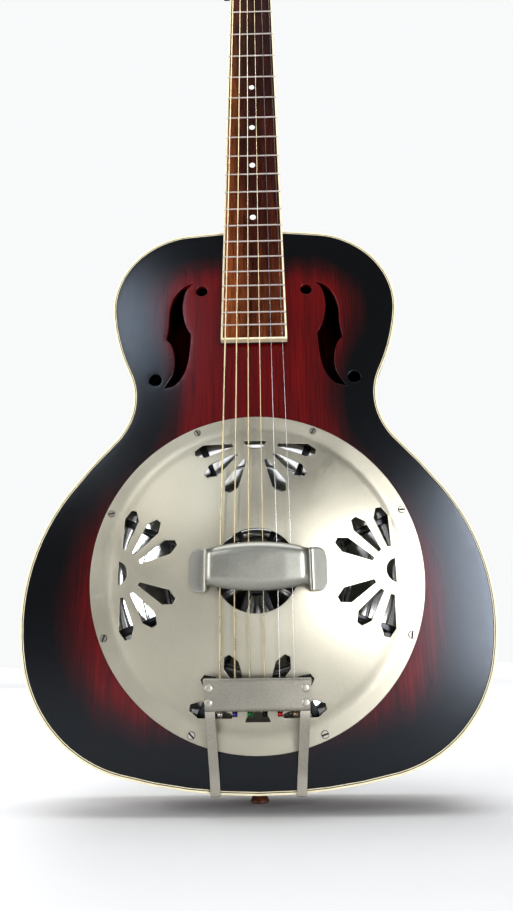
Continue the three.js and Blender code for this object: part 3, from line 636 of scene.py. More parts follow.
top_burst = burst_wood("top_burst", (0.0003, 0.0003, 0.0004), (0.030, 0.0005, 0.0004),
                       (0.098, 0.0010, 0.0007))
body_burst = burst_wood("body_burst", (0.0016, 0.001, 0.0012), (0.03, 0.003, 0.002), (0.085, 0.006, 0.004))
neck_wood = plain_wood("neck_wood", (0.012, 0.0025, 0.002), (0.04, 0.008, 0.005), 0.4, bump=0.01,
                       specular=0.45)
# The wood inside the body, grain and all, is made near black: painted shade for the dark inside the body.
inner_wood = plain_wood("inner_wood", (0.022, 0.013, 0.008), (0.06, 0.036, 0.022), 0.8, (260, 260, 10))
board_wood = board_wood_finish()
wedge_wood = plain_wood("wedge_wood", (0.010, 0.003, 0.002), (0.03, 0.008, 0.005), 0.5)
saddle_wood = plain_wood("saddle_wood", (0.012, 0.008, 0.006), (0.05, 0.03, 0.02), 0.5, (900, 300, 300))
peg_wood = plain_wood("peg_wood", (0.05, 0.012, 0.006), (0.22, 0.07, 0.03), 0.35, (300, 300, 60), 0.02, 0.5)
head_face = plain_wood("headstock_face", (0.004, 0.003, 0.003), (0.016, 0.009, 0.008), 0.3, bump=0.01,
                       specular=0.5)
cream = plastic("cream", (0.76, 0.68, 0.47), 0.42)
black_line = plastic("black_line", (0.010, 0.009, 0.009), 0.45)
black_cover = plastic("black_cover", (0.012, 0.012, 0.013), 0.22)
bone = plastic("bone", (0.76, 0.69, 0.54), 0.4, 0.08)
pearl = plastic("pearl", (0.82, 0.82, 0.78), 0.22, 0.1)
satin_nickel = plated("satin_nickel", (0.44, 0.415, 0.34), 0.385, (700, 90, 240), 0.07, 0.03, 0.0015,
                      lines=0.03)
worn_nickel = plated("worn_nickel", (0.345, 0.325, 0.28), 0.36, (900, 60, 700), 0.12, 0.2, 0.006, 1100)
rivet_nickel = plated("rivet_nickel", (0.46, 0.43, 0.37), 0.4, (900, 60, 700), 0.15, 0.2, 0.006, 1100)
# The hand rest's nickel is darker than the cover's: a painted reflection of dark surroundings on the rest's
# top.
rest_nickel = plated("rest_nickel", (0.34, 0.335, 0.30), 0.37, (900, 60, 600), 0.08, 0.1, 0.004, 1200)
tuner_nickel = plated("tuner_nickel", (0.72, 0.70, 0.65), 0.2, tarnish=0.2)
screw_metal = plated("screw_metal", (0.55, 0.53, 0.47), 0.22)
# Dark metal under the screw heads: painted shade in the slots and a painted shadow line round each head, with
# some dirt.
screw_dirt_and_shade = plated("screw_dirt_and_shade", (0.05, 0.045, 0.04), 0.5)
rod_steel = plated("rod_steel", (0.45, 0.45, 0.46), 0.35)
fret_metal = plated("fret_metal", (0.62, 0.56, 0.53), 0.3, (20, 900, 900), 0.1)
# The spider is near black: painted shade for the dark under the cover and the hand rest.
spider_cast = plated("spider_cast", (0.06, 0.06, 0.065), 0.32, (500, 500, 500), 0.2, 0.3)
gear_brass = plated("gear_brass", (0.62, 0.45, 0.20), 0.32, tarnish=0.25)
string_steel = plated("string_steel", (0.72, 0.72, 0.72), 0.22, (900, 900, 60), 0.08)
cone_metal = spun_metal()
windings = {n: wound_string(f"string_winding_{n}", (0.95, 0.82, 0.52), 0.9 * r)
            for n, r in zip((6, 5, 4, 3), STRING_RADII)}
CAD_FINISHES = {"inner_wood": inner_wood, "rod_steel": rod_steel}

# ---------------------------------------------------------------- body


def body_outline(inset=0.0):
    """Points round the body, moved inwards by an inset, anticlockwise."""
    heading = 0.0
    half = [v2(0, BODY_TOP - inset)]

    def follow(radius, sweep, heading):
        steps = max(2, math.ceil(sweep / ARC_STEP))
        turn = math.copysign(math.radians(sweep / steps), radius)
        chord = 2 * abs(radius - inset) * math.sin(abs(turn) / 2)
        for _ in range(steps):
            middle = heading + turn / 2
            half.append(half[-1] + v2(chord * math.cos(middle), -chord * math.sin(middle)))
            heading += turn
        return heading

    for radius, sweep in BODY_ARCS:
        heading = follow(radius, sweep, heading)
    rest = math.pi - heading
    follow(half[-1].x / math.sin(rest) + inset, math.degrees(rest), heading)
    half[-1].x = 0
    return (half + [v2(-p.x, p.y) for p in half[-2:0:-1]])[::-1]


OUTLINE = body_outline()
BODY_TAIL = min(p.y for p in OUTLINE)


def ring(outer_inset, inner_inset, lower, upper, bevel=0.2):
    """A strip of even width that follows the body's outline."""
    outer, inner = body_outline(outer_inset), body_outline(inner_inset)
    return plate(outer, [inner], lower, upper, bevel)


def f_hole(side):
    """The outline of an f-hole: four smooth edges between its two ends and two notches."""
    tip, tail = v2(54.7, -373.8), v2(78.2, -477.4)
    outer_notch, inner_notch = v2(77.3, -430.3), v2(55.8, -425.3)
    edges = [
        [tip, v2(64, -377.6), v2(71, -386.4), v2(75, -400), v2(75.6, -417), outer_notch],
        [outer_notch, v2(72, -437.3), v2(69.3, -450), v2(70.4, -463.5), tail],
        [tail, v2(68.4, -474.1), v2(60.5, -462.5), v2(57, -446), inner_notch],
        [inner_notch, v2(60.9, -416), v2(64.1, -398), v2(61.4, -381.2), tip],
    ]
    return [v2(side * p.x, p.y) for edge in edges for p in spline(edge, 5)[:-1]]


def edge_distance(points):
    """How far each place lies in from the body's outline."""
    return clearance(np.array([(p.x, p.y) for p in points]), [OUTLINE])


def smooth_range(value, low, high):
    t = np.clip((value - low) / (high - low), 0, 1)
    return t * t * (3 - 2 * t)


def top_opening(points):
    """How far the burst is open on the top and the back, from 0 near the edge to 1 well inside."""
    return smooth_range(edge_distance(points), 18, 62)


def side_opening(points):
    """How far the burst is open on the sides: most along their middle."""
    middle = np.array([abs(p.z + BODY_DEPTH / 2) for p in points])
    return 0.75 * (1 - smooth_range(middle, 4, 36))


def box():
    """The top with its holes, the back, the sides and the bindings."""
    holes = [circle(SOUND_HOLE_R, 128, (0, COVER_Y))]
    for side in (-1, 1):
        holes.append(f_hole(side))
        holes += [circle(radius, 32, (side * x, y)) for radius, x, y in F_HOLE_ROUNDS]
    inner = body_outline(BINDING_W)
    piece("soundboard_top", plate(inner, holes, -PLATE_T, 0, 0.6, 6), top_burst,
          replaces=["soundboard"], burst=top_opening)
    piece("back", plate(inner, [], -BODY_DEPTH, -BODY_DEPTH + PLATE_T, 0.3, 7), body_burst,
          replaces=["back_plate"], burst=top_opening)
    rim_loops = []
    low, high = -BODY_DEPTH + BINDING_H, -BINDING_H
    levels = np.linspace(low, high, 13).tolist()
    for a, b in zip(body_outline(0), body_outline(RIM_T)):
        wall = [(a, z) for z in levels] + [(b, high), (b, low)]
        rim_loops.append([Vector((p.x, p.y, z)) for p, z in wall])
    piece("sides", loft(rim_loops, closed=True), body_burst, replaces=["side_rim"],
          burst=side_opening)
    piece("top_edge_binding", ring(0, 1.45, -BINDING_H, 0, 0.35), cream,
          replaces=["top_binding"])
    piece("top_purfling_black", ring(1.45, 2.0, -1.5, 0, 0.03), black_line)
    piece("top_purfling_cream", ring(2.0, BINDING_W, -1.5, 0, 0.03), cream)
    piece("back_edge_binding", ring(0, BINDING_W, -BODY_DEPTH, -BODY_DEPTH + BINDING_H, 0.35), cream,
          replaces=["back_binding"])


def strap_peg():
    profile = [v2(0, -20), v2(4.2, -18), v2(4.2, 0.2), v2(5.8, 0.2), v2(5.1, 2.6), v2(4.9, 6), v2(6.6, 8.8),
               v2(7.5, 10.3), v2(7.2, 11.4), v2(5.5, 12), v2(0, 12)]
    shape = turned(rounded(profile, 0.9), 48)
    place = PLAN @ shift(0, BODY_TAIL, BUTTON_Z) @ spin(math.pi / 2, "X")
    piece("strap_peg", shape, peg_wood, replaces=["strap_button"], at=place)


# ---------------------------------------------------------------- screws and rivets


def slot_floor(radius, height):
    """The bottom of a screw's slot, as a dark disc a little wider than the head: painted shade in the slot
    and a painted shadow line round the head, with some dirt.
    """
    return plate(circle(radius + 0.28, 40), [], 0, height * 0.3, 0.04)


def slotted_head(radius, height, slot=0.5):
    """A raised screw head in two halves, with its slot as a real gap between them."""
    def crown(p):
        return height * (0.5 + 0.5 * max(0.0, 1 - (p.length / radius) ** 2.4))
    start = math.asin(slot / radius)
    turns = np.linspace(start, math.pi - start, 20).tolist()
    half = [v2(radius * math.cos(a), radius * math.sin(a)) for a in turns]
    side = plate(half, [], 0.05, crown, 0.06 * radius)
    return together(side, moved(side, spin(math.pi)))


def screw(name, at, radius, height, slot, body="guitar"):
    """A slotted screw, as a bright head and a dark disc in and round it: painted shade in the slot and round
    the head, with some dirt.
    """
    piece(name, slotted_head(radius, height, slot), screw_metal, body, at=at)
    piece(name + "_slot", slot_floor(radius, height), screw_dirt_and_shade, body, at=at)


def domed_rivet(radius, height):
    """A low button head: nearly flat on top, with a rounded edge."""
    sunk = -0.3
    profile = [v2(0, height), v2(radius * 0.62, height * 0.94), v2(radius, height * 0.45), v2(radius, sunk)]
    return turned(rounded(profile, 0.9, 5) + [v2(0, sunk)], 36)


def placed(at, place, turn=0.0):
    return at @ shift(*place) @ spin(turn)


# ---------------------------------------------------------------- resonator


def dome(p):
    """Height of the cover's face at a place from its centre."""
    r = p.length
    if r >= DOME["rim_out"]:
        return DOME["flange"]
    out = max(r - COVER_HOLE_R, 0) / (DOME["fall_end"] - COVER_HOLE_R)
    vault = DOME["crown"] - DOME["fall"] * out ** DOME["fall_power"]
    step = float(smooth_range(r, DOME["rim_in"], DOME["rim_out"]))
    return vault * (1 - step) + DOME["flange"] * step


def petal(angle):
    """One long hole of a fan, turned away from the middle of the fan by an angle."""
    left = [v2(-PETAL[part + "_half"], PETAL[part]) for part in ("start", "shoulder", "tip")]
    loop = left + [v2(-p.x, p.y) for p in reversed(left)]
    soft = []
    for before, here, after in zip(loop[-1:] + loop[:-1], loop, loop[1:] + loop[:1]):
        soft += rounded([before, here, after], 0.3, 2)[1:-1]
    turn = Matrix.Rotation(math.radians(angle), 2)
    return [turn @ p for p in soft]


def half_moon():
    """The hole in the middle of a fan: an arc over a straight edge."""
    half, bulge = MOON["half"], MOON["bulge"]
    radius = (half ** 2 + bulge ** 2) / (2 * bulge)
    start = math.atan2(radius - bulge, half)
    turns = np.linspace(start, math.pi - start, 15).tolist()
    return [v2(radius * math.cos(a), bulge - radius + radius * math.sin(a)) for a in turns]


def cover():
    holes = [circle(COVER_HOLE_R, 72)]
    outlines = [half_moon()] + [petal(way * a) for a in PETAL_ANGLES for way in (-1, 1)]
    for quarter in range(4):
        turn = Matrix.Rotation(quarter * math.pi / 2, 2)
        holes += [[turn @ (p + v2(0, -FAN_R)) for p in outline] for outline in outlines]
    shape = plate(circle(COVER_R, 180), holes, lambda p: dome(p) - COVER_T, dome, 0.32, 3.2)
    piece("cover", shape, satin_nickel, replaces=["cover_plate"], at=COVER)
    for k in range(COVER_SCREWS):
        a = TURN * (k + 0.5) / COVER_SCREWS
        place = (COVER_SCREW_R * math.cos(a), COVER_SCREW_R * math.sin(a), DOME["flange"])
        screw(f"cover_screw_{k + 1}", placed(COVER, place, 1.1 * k), 2.5, 1.6, 0.5)


def cone():
    """A spun dish: a flat rim on the ledge, sides with turned grooves down to a fold, and a raised middle."""
    coarse = [v2(CONE_R, -10.8), v2(LEDGE_R, -10.8), v2(45, -37), v2(40, -38.6), v2(35, -36.6), v2(12, -20.6),
              v2(4.2, -20)]
    groove_depth, groove_width, wall = 0.45, 0.55, 0.9
    smooth = rounded(coarse, 4, 5)
    upper = []
    for a, b in zip(smooth, smooth[1:]):
        for t in np.linspace(0, 1, max(2, int((a - b).length / 0.6)), endpoint=False).tolist():
            p = a.lerp(b, t)
            groove = sum(math.exp(-((p.x - r) / groove_width) ** 2) for r in CONE_GROOVES)
            upper.append((p.x, p.y - groove_depth * groove))
    upper.append(tuple(coarse[-1]))
    lower = [(r, z - wall) for r, z in reversed(upper)]
    piece("cone", turned(upper + lower, 144), cone_metal, replaces=["resonator_cone"],
          at=COVER, sharp=60)


def spider():
    """A cast hub with eight legs, and a slotted block that holds the two saddles."""
    profile = [v2(0, -9.5), v2(16, -9.5), v2(16, -3), v2(14.5, -1.5), v2(7, -1.5), v2(0, -1.5)]
    shapes = [turned(rounded(profile, 0.8), 48)]
    stations = [(12, -5.3, 2.6, 3.8), (30, -5.6, 2.0, 3.3), (60, -6.2, 1.7, 2.6), (95, -7.2, 1.8, 1.9),
                (104, -8.2, 2.4, 1.9), (109, -8.7, 2.9, 1.8), (115, -8.8, 2.9, 1.7)]
    points = [Vector((r, 0, z)) for r, z, _, _ in stations]
    sections = [rounded_box(half, high, 0.9) for _, _, half, high in stations]
    leg = bar(points, Vector((0, 1, 0)), sections)
    shapes += [moved(leg, spin(TURN * (k + 0.5) / SPIDER_LEGS)) for k in range(SPIDER_LEGS)]
    length, block, slot = 31, 4.8, 1.8
    shapes.append(plate([v2(-length, -block), v2(length, -block), v2(length, block), v2(-length, block)], [],
                        -5, 8.5, 0.5))
    for way in (-1, 1):
        near, far = way * slot, way * block
        wall = [v2(-length, far), v2(length, far), v2(length, near), v2(-length, near)]
        shapes.append(plate(wall, [], 7.5, 15.5, 0.6))
    piece("spider", together(*shapes), spider_cast, replaces=["spider_bridge"], at=BRIDGE)
    shank = turned([(0, -26), (1.9, -26), (1.9, -4), (0, -4)], 20)
    head = moved(slotted_head(2.6, 2.2), shift(0, 0, 5))
    piece("spider_adjusting_screw", together(shank, head), rod_steel, replaces=["spider_screw"],
          at=BRIDGE)


def saddles():
    """Two slips of hard wood, notched where each string crosses."""
    for side, word in SIDES:
        loops = []
        for x in np.linspace(3.5, 30.5, 28).tolist():
            nearest = min(abs(side * x - SPREAD_BRIDGE * share(i)) for i in range(6))
            top = STRING_Z_BRIDGE - 1.1 - 0.35 * max(0.0, 1 - nearest / 1.2)
            outline = [v2(-1.5, 8.8), v2(1.5, 8.8), v2(1.5, top - 1.2), v2(0.6, top), v2(-0.6, top),
                       v2(-1.5, top - 1.2)]
            loops.append([Vector((side * x, p.x, p.y)) for p in outline])
        piece(f"bridge_saddle_{word}", loft(loops), saddle_wood, replaces=[f"saddle_{word}"],
              at=BRIDGE)


def rest_half_width(x):
    """Half the width of the rest: bowed long edges on the bar, round corners on the foot pads."""
    if x <= REST_WALL:
        return REST_BAR_HALF + REST_BAR_BOW * (1 - (x / REST_WALL) ** 2)
    neck_run, neck_in = 2.5, 2.2
    pad = REST_PAD_HALF - neck_in * max(0.0, (REST_WALL + neck_run - x) / neck_run) ** 2
    past = max(0.0, x - (REST_END - REST_PAD_CORNER))
    return pad - REST_PAD_CORNER + math.sqrt(max(REST_PAD_CORNER ** 2 - past ** 2, 0.01))


def hand_rest():
    """One sheet, bent up from two foot pads into a bar whose long edges turn down."""
    edge = [v2(REST_END, 15.7), v2(40.4, 15.7), v2(39.6, 17.2), v2(38.3, 17.4), v2(37.2, 35.4),
            v2(33.4, 38.4), v2(20, 39.1), v2(0, 39.2)]
    run = rounded(edge, 2.4, 5)
    fine = []
    for a, b in zip(run, run[1:]):
        fine += [a.lerp(b, t) for t in np.linspace(0, 1, max(1, int((b - a).length / 1.4)) + 1)[:-1].tolist()]
    fine.append(run[-1])
    fine += [v2(-p.x, p.y) for p in fine[-2::-1]]
    half_shares = [0.2, 0.45, 0.64, 0.76, 0.84, 0.9, 0.95, 0.985, 1]
    shares = [-t for t in reversed(half_shares)] + [0] + half_shares
    loops = []
    for p, t in zip(fine, tangents(fine)):
        normal = v2(t.y, -t.x)
        half = rest_half_width(abs(p.x))
        turned_down = smooth_range(p.y, 30, 39) * 4.2
        upper, lower = [], []
        for s in shares:
            sag = turned_down * max(0.0, (abs(s) - 0.5) / 0.5) ** 2.4
            half_sheet = 0.8 if abs(s) < 0.97 else 0.45
            for way, skin in ((1, upper), (-1, lower)):
                q = p + normal * (way * half_sheet - sag)
                skin.append(Vector((q.x, s * half, q.y)))
        loops.append(upper + lower[::-1])
    piece("hand_rest", loft(loops), rest_nickel, replaces=["palm_rest"],
          at=COVER @ shift(REST_X, 0, 0), sharp=50)


# ---------------------------------------------------------------- tailpiece


def share(i):
    """Where a string lies in the spread, from -1/2 on the bass side to 1/2 on the treble side."""
    return i / (len(STRING_RADII) - 1) - 0.5


def tailpiece():
    """A folded plate, slightly narrower at the tail, with a comb that holds the ball ends and four rivets."""
    sheet = 1.5
    middle = sheet / 2
    front, back, face = TAIL_FRONT - middle, TAIL_BACK + middle, TAIL_TOP - middle
    corners = [Vector((0, y, z)) for y, z in ((front, 16.1), (front, face), (back, face), (back, 15.2))]
    run = rounded(corners, 2.3, 6)
    back_half, front_half = 36.8, 38.7
    length = TAIL_FRONT - TAIL_BACK
    sections = [rounded_box(back_half + (front_half - back_half) * (p.y - TAIL_BACK) / length, middle, 0.35)
                for p in run]
    comb_half, comb_low, comb_high, notch_top = 30.3, 9.5, 16.5, BALL_Z + 0.9
    comb = [v2(-comb_half, comb_high), v2(-comb_half, comb_low)]
    for i, r in enumerate(STRING_RADII):
        left, right = (SPREAD_BRIDGE * share(i) + way * (r + 0.45) for way in (-1, 1))
        comb += [v2(left, comb_low), v2(left, notch_top), v2(right, notch_top), v2(right, comb_low)]
    comb += [v2(comb_half, comb_low), v2(comb_half, comb_high)]
    stand = shift(0, TAIL_BACK + sheet, 0) @ spin(math.pi / 2, "X")
    lip = moved(plate(comb, [], 0, sheet, 0.25), stand)
    piece("tailpiece", together(bar(run, Vector((1, 0, 0)), sections), lip), worn_nickel,
          replaces=["tailpiece_plate"])
    for side, word in SIDES:
        for k, y in enumerate((-718.6, -728.4)):
            piece(f"tailpiece_rivet_{word}_{k + 1}", domed_rivet(3.1, 1.3), rivet_nickel,
                  at=placed(PLAN, (side * STRAP_X, y, TAIL_TOP - 0.3)))


def tail_straps():
    """Two strips from under the plate, down over the tail's edge, each with a screw into the tail block."""
    face = BODY_TAIL + 0.4
    sheet = 1.2
    upper = [(-714, 17.2), (-737, 17.2), (-754, 10.5), (-776, 3.4), (face + sheet, 2.2), (face - sheet, 1.9),
             (face - sheet, -16)]
    run = rounded([Vector((0, y, z)) for y, z in upper], 3.2, 6)
    inner = []
    for p, t in zip(run, tangents(run)):
        inner.append(p + Vector((1, 0, 0)).cross(t) * (sheet / 2))
    for side, word in SIDES:
        place = PLAN @ shift(side * STRAP_X, STRAP_MIDDLE_Y, 0) @ spin(-side * STRAP_TOE_IN)
        place = place @ shift(0, -STRAP_MIDDLE_Y, 0)
        shape = strap(inner, Vector((1, 0, 0)), 3.55, sheet, 0.4)
        piece(f"tail_strap_{word}", shape, rivet_nickel, replaces=[f"tailpiece_strap_{word}"],
              at=place)
        lower = place @ shift(0, face - sheet, -10) @ spin(math.pi / 2, "X")
        screw(f"tail_strap_screw_{word}", lower, 2.4, 1.5, 0.5)


# ---------------------------------------------------------------- strings

BALL_COLOURS = {6: (0.42, 0.408, 0.372), 5: (0.048, 0.042, 0.18), 4: (0.018, 0.132, 0.036),
                3: (0.012, 0.012, 0.012), 2: (0.3, 0.018, 0.018), 1: (0.24, 0.18, 0.108)}
COIL_TURNS = 3.25
COIL_STEPS = 59
TUNERS = [dict(string=s, side=-1 if k < 3 else 1, y=POST_Y[k % 3]) for k, s in enumerate((6, 5, 4, 1, 2, 3))]
for tuner in TUNERS:
    tuner["x"] = tuner["side"] * POST_X


def strings():
    """Each string from its ball end over a saddle and the nut to its post, with its twist and its coil."""
    unplan = PLAN.inverted()
    for tuner in TUNERS:
        number = tuner["string"]
        i = len(STRING_RADII) - number
        r = STRING_RADII[i]
        x = SPREAD_BRIDGE * share(i)
        ball = Vector((x, TAIL_BACK - BALL_R - 0.2, BALL_Z))
        saddle = Vector((x, BRIDGE_Y, STRING_Z_BRIDGE + r * 0.5 - 0.4))
        nut = unplan @ (NECK @ Vector((SPREAD_NUT * share(i), NUT_Y + 1.2, STRING_Z_NUT)))
        wrap = POST_R + r + GLUE
        post = unplan @ (HEAD @ Vector((tuner["x"] - tuner["side"] * wrap, tuner["y"], 7.6)))
        finish = windings.get(number, string_steel)
        run = rounded([ball + Vector((0, 1.2, 0)), saddle, nut, post], 1.6, 4)
        fine = []
        for a, b in zip(run, run[1:]):
            count = max(1, int((b - a).length / 12))
            fine += [a.lerp(b, k / count) for k in range(count)]
        piece(f"string_wire_{number}", tube(fine + [run[-1]], r, 12), finish,
              replaces=[f"string_{number}"])
        twist = [ball + (saddle - ball).normalized() * d for d in (0.5, 3, 6, 9, 11)]
        core = r + 0.28
        shape = tube(twist, [core, core, core * 0.98, core * 0.9, r], 12)
        piece(f"string_twist_{number}", shape, finish)
        piece(f"ball_end_{number}", ball_end(), plated(f"ball_{number}", BALL_COLOURS[number], 0.3),
              at=PLAN @ shift(*ball) @ spin(math.pi / 2, "Y"))
        on_post = []
        around = POST_R - 0.25 + r
        for k in range(COIL_STEPS + 1):
            wound_on = COIL_TURNS * k / COIL_STEPS
            a = (math.pi if tuner["side"] > 0 else 0) + tuner["side"] * TURN * wound_on
            on_post.append(Vector((around * math.cos(a), around * math.sin(a), 9.2 - 2.1 * r * wound_on)))
        piece(f"string_coil_{number}", tube(on_post, r, 10), finish, body=f"post_{number}",
              at=HEAD @ shift(tuner["x"], tuner["y"], 0))


def ball_end():
    """A grooved ring at the end of a string."""
    wide, deep = 1.8, 0.35
    profile = [v2(0.75, -wide), v2(BALL_R, -wide), v2(BALL_R, -0.6), v2(BALL_R - deep, 0), v2(BALL_R, 0.6),
               v2(BALL_R, wide), v2(0.75, wide)]
    return turned(rounded(profile, 0.8, 4), 28)


# ---------------------------------------------------------------- neck


def board_half(y):
    """Half the width of the fretboard at a place along it."""
    return (BOARD_W_NUT + (BOARD_W_END - BOARD_W_NUT) * (NUT_Y - y) / (NUT_Y - BOARD_END)) / 2


def fret_place(n):
    return NUT_Y - SCALE * (1 - 2 ** (-n / 12))


def board_plan(inset, end_inset):
    """The corners of the board, moved inwards at its sides and at the body end."""
    start, end = NUT_Y - GLUE, BOARD_END + end_inset
    right = [v2(board_half(y) - inset, y) for y in (end, start)]
    return [v2(-right[0].x, end)] + right + [v2(-right[1].x, start)]


def fretboard():
    piece("fingerboard", plate(board_plan(BOARD_BINDING, BOARD_BINDING), [], -BOARD_T, 0, 0.05), board_wood,
          replaces=["fretboard"], at=NECK)
    start, end = NUT_Y - GLUE, BOARD_END + BOARD_BINDING / 2
    corners = [Vector((side * (board_half(y) - BOARD_BINDING / 2), y, -BOARD_T / 2))
               for side, y in ((-1, start), (-1, end), (1, end), (1, start))]
    section = rounded_box(BOARD_BINDING / 2, BOARD_T / 2, 0.3)
    loops = []
    for k, (sx, sy) in enumerate(((1, 0), (1, 1), (-1, 1), (-1, 0))):
        loops.append([corners[k] + Vector((sx * s.x, sy * s.x, s.y)) for s in section])
    piece("fingerboard_binding", loft(loops), cream, replaces=["fretboard_binding"], at=NECK)
    loops = []
    for y in (BOARD_END + 0.6, BOARD_END / 2, -2.0):
        half = board_half(y) - 0.5
        low, high = -BOARD_Z + GLUE + y * math.tan(NECK_TILT), -BOARD_T
        loops.append([Vector((x, y, z)) for x, z in ((-half, low), (half, low), (half, high), (-half, high))])
    piece("fingerboard_wedge", loft(loops), wedge_wood, at=NECK)
    for n in range(1, FRETS + 1):
        piece(f"fret_{n}", fret(fret_place(n)), fret_metal, at=NECK)
    for n in DOT_FRETS:
        y = (fret_place(n) + fret_place(n - 1)) / 2
        dot = plate(circle(2.9, 40), [], -1, 0.06, 0.05)
        piece(f"dot_{n}", dot, pearl, at=placed(NECK, (0, y, 0)))


def fret(y):
    """A crowned wire across the board, with sloping ends."""
    half = board_half(y)
    crown = [v2(0.85 * math.cos(a), 1.05 * math.sin(a)) for a in np.linspace(0, math.pi, 9).tolist()]
    loops = []
    for x, size in ((-half + 0.05, 0.35), (-half + 0.35, 0.8), (-half + 0.8, 1), (half - 0.8, 1),
                    (half - 0.35, 0.8), (half - 0.05, 0.35)):
        loops.append([Vector((x, y + p.x * (0.6 + 0.4 * size), p.y * size)) for p in crown])
    return loft(loops)


def string_nut():
    """A bone bar with a slot for each string and a top that slopes towards the headstock."""
    loops = []
    half = BOARD_W_NUT / 2
    for x in np.linspace(-half, half, 181).tolist():
        top = STRING_Z_NUT + 0.75
        for i, r in enumerate(STRING_RADII):
            if abs(x - SPREAD_NUT * share(i)) < r + 0.12:
                top = STRING_Z_NUT - r
        ease = 0.25 * smooth_range(abs(x), half - 0.5, half)
        outline = [(0, -BOARD_T), (NUT_W, -BOARD_T), (NUT_W, top - 1.6), (3.2, top - 0.5), (1.4, top - ease),
                   (0.3, top - ease), (0, top - 0.3)]
        loops.append([Vector((x, NUT_Y + y, z)) for y, z in outline])
    piece("string_nut", loft(loops), bone, replaces=["nut"], at=NECK)


def superellipse(half, depth, power):
    """The lower half of a section that turns from an ellipse to a box as its power grows."""
    loop = []
    count = 24
    for k in range(count + 1):
        a = math.pi + math.pi * k / count
        c, s = math.cos(a), math.sin(a)
        loop.append(v2(math.copysign(abs(c) ** (2 / power), c) * half, -abs(s) ** (2 / power) * depth))
    return loop


def post_holes(gap):
    return [circle(POST_R + gap, 24, (t["x"], t["y"])) for t in TUNERS]


def neck():
    """The shaft with its heel and its turn into the head, then the headstock with its veneer and lid."""
    heel_start, nut_depth, shaft_depth, heel_depth = 58, 14.6, 17, 74
    loops = []
    stations = np.linspace(-4.0, heel_start, 26).tolist()
    stations += np.linspace(heel_start, NUT_Y - 12, 20)[1:].tolist()
    for y in stations:
        heel = float(smooth_range(heel_start - y, 0, heel_start)) ** 1.6
        along = (y - heel_start) / (NUT_Y - heel_start)
        shaft = shaft_depth + (nut_depth - shaft_depth) * max(along, 0)
        depth = shaft + (heel_depth - shaft) * heel
        section = superellipse(board_half(y) - 0.05, depth, 2.15)
        loops.append([Vector((p.x, y, NECK_TOP + p.y)) for p in section])
    to_neck = NECK.inverted() @ HEAD
    into_head = ((0, 22.2, 15.6, 2.3), (6, 23, 15.2, 2.9), (12, 26, 14.9, 3.8), (18, 29.4, 14.7, 6),
                 (24, 31.8, 14.5, 10))
    for y, half, depth, power in into_head:
        section = superellipse(half, depth, power)
        loops.append([to_neck @ Vector((p.x, y, p.y)) for p in section])
    piece("neck_shaft", loft(loops), neck_wood, replaces=["neck"], at=NECK, sharp=50)
    outline = [p for p in head_outline() if p.y > 16]
    shape = plate(outline, post_holes(0.8), -HEAD_T, 0, 0.9)
    piece("headstock", shape, neck_wood, at=HEAD)
    outline = [v2(p.x, max(p.y, 1.2)) for p in offset(head_outline(), 0.1)]
    shape = plate(outline, post_holes(1.2), 0.05, GLUE + OVERLAY_T, 0.3)
    piece("headstock_veneer", shape, head_face, replaces=["headstock_overlay"], at=HEAD)
    lid = [v2(-9, 3), v2(9, 3)] + bezier([v2(9, 3), v2(9, 24), v2(0, 36)], 12)[1:]
    lid += bezier([v2(0, 36), v2(-9, 24), v2(-9, 3)], 12)
    lid_z = OVERLAY_T + 2 * GLUE
    piece("rod_lid", plate(lid, [], lid_z - GLUE, lid_z + 1.6, 0.5), black_cover,
          replaces=["truss_rod_cover"], at=HEAD)
    for k, (x, y) in enumerate(((-6, 6), (6, 6), (0, 28))):
        screw(f"rod_lid_screw_{k + 1}", placed(HEAD, (x, y, lid_z + 1.5), k), 1.3, 0.7, 0.25)


def head_outline():
    right = bezier([v2(22, 0), v2(24, 12), v2(32, 13), v2(33, 27)], 14)
    right += [v2(33, 27).lerp(v2(36.5, 148), t) for t in (0, 0.33, 0.66)]
    right += bezier([v2(36.5, 148), v2(37.5, 160), v2(27, 161.5)], 10)
    right += bezier([v2(27, 161.5), v2(12, 163), v2(0, HEAD_LENGTH)], 10)
    return right + [v2(0, HEAD_LENGTH)] + [v2(-p.x, p.y) for p in reversed(right)]


# ---------------------------------------------------------------- tuners


def gear():
    """A gear with trapezoid teeth and a hole for its screw."""
    inner, outer = GEAR_PITCH_R - TOOTH_DED, GEAR_PITCH_R + TOOTH_ADD
    loop = []
    step = TURN / GEAR_TEETH
    for i in range(GEAR_TEETH):
        middle = math.pi / 2 + (i + 0.5) * step
        for radius, half in ((inner, -0.62), (outer, -0.3), (outer + 0.03, 0), (outer, 0.3), (inner, 0.62)):
            a = middle + half / radius
            loop.append(v2(radius * math.cos(a), radius * math.sin(a)))
    return plate(loop, [circle(1.2, 16)], -GEAR_T / 2, GEAR_T / 2, 0.14)


def worm():
    """A shaft with a three-turn thread."""
    core = WORM_PITCH_R - TOOTH_DED
    turns, steps = 3, 28
    loops = []
    section = [(-TOOTH_DED - 0.2, -0.62), (TOOTH_ADD, -0.24), (TOOTH_ADD, 0.24), (-TOOTH_DED - 0.2, 0.62)]
    for k in range(turns * steps + 1):
        a = TURN * k / steps
        x = WORM_PITCH * (k / steps - turns / 2)
        outwards = Vector((0, math.cos(a), math.sin(a)))
        fade = min(1.0, k / 6, (turns * steps - k) / 6)
        faded = [(h if h < 0 else h * fade - (1 - fade) * 0.9, w) for h, w in section]
        loops.append([Vector((x - w, 0, 0)) + outwards * (WORM_PITCH_R + h) for h, w in faded])
    return loft(loops), core


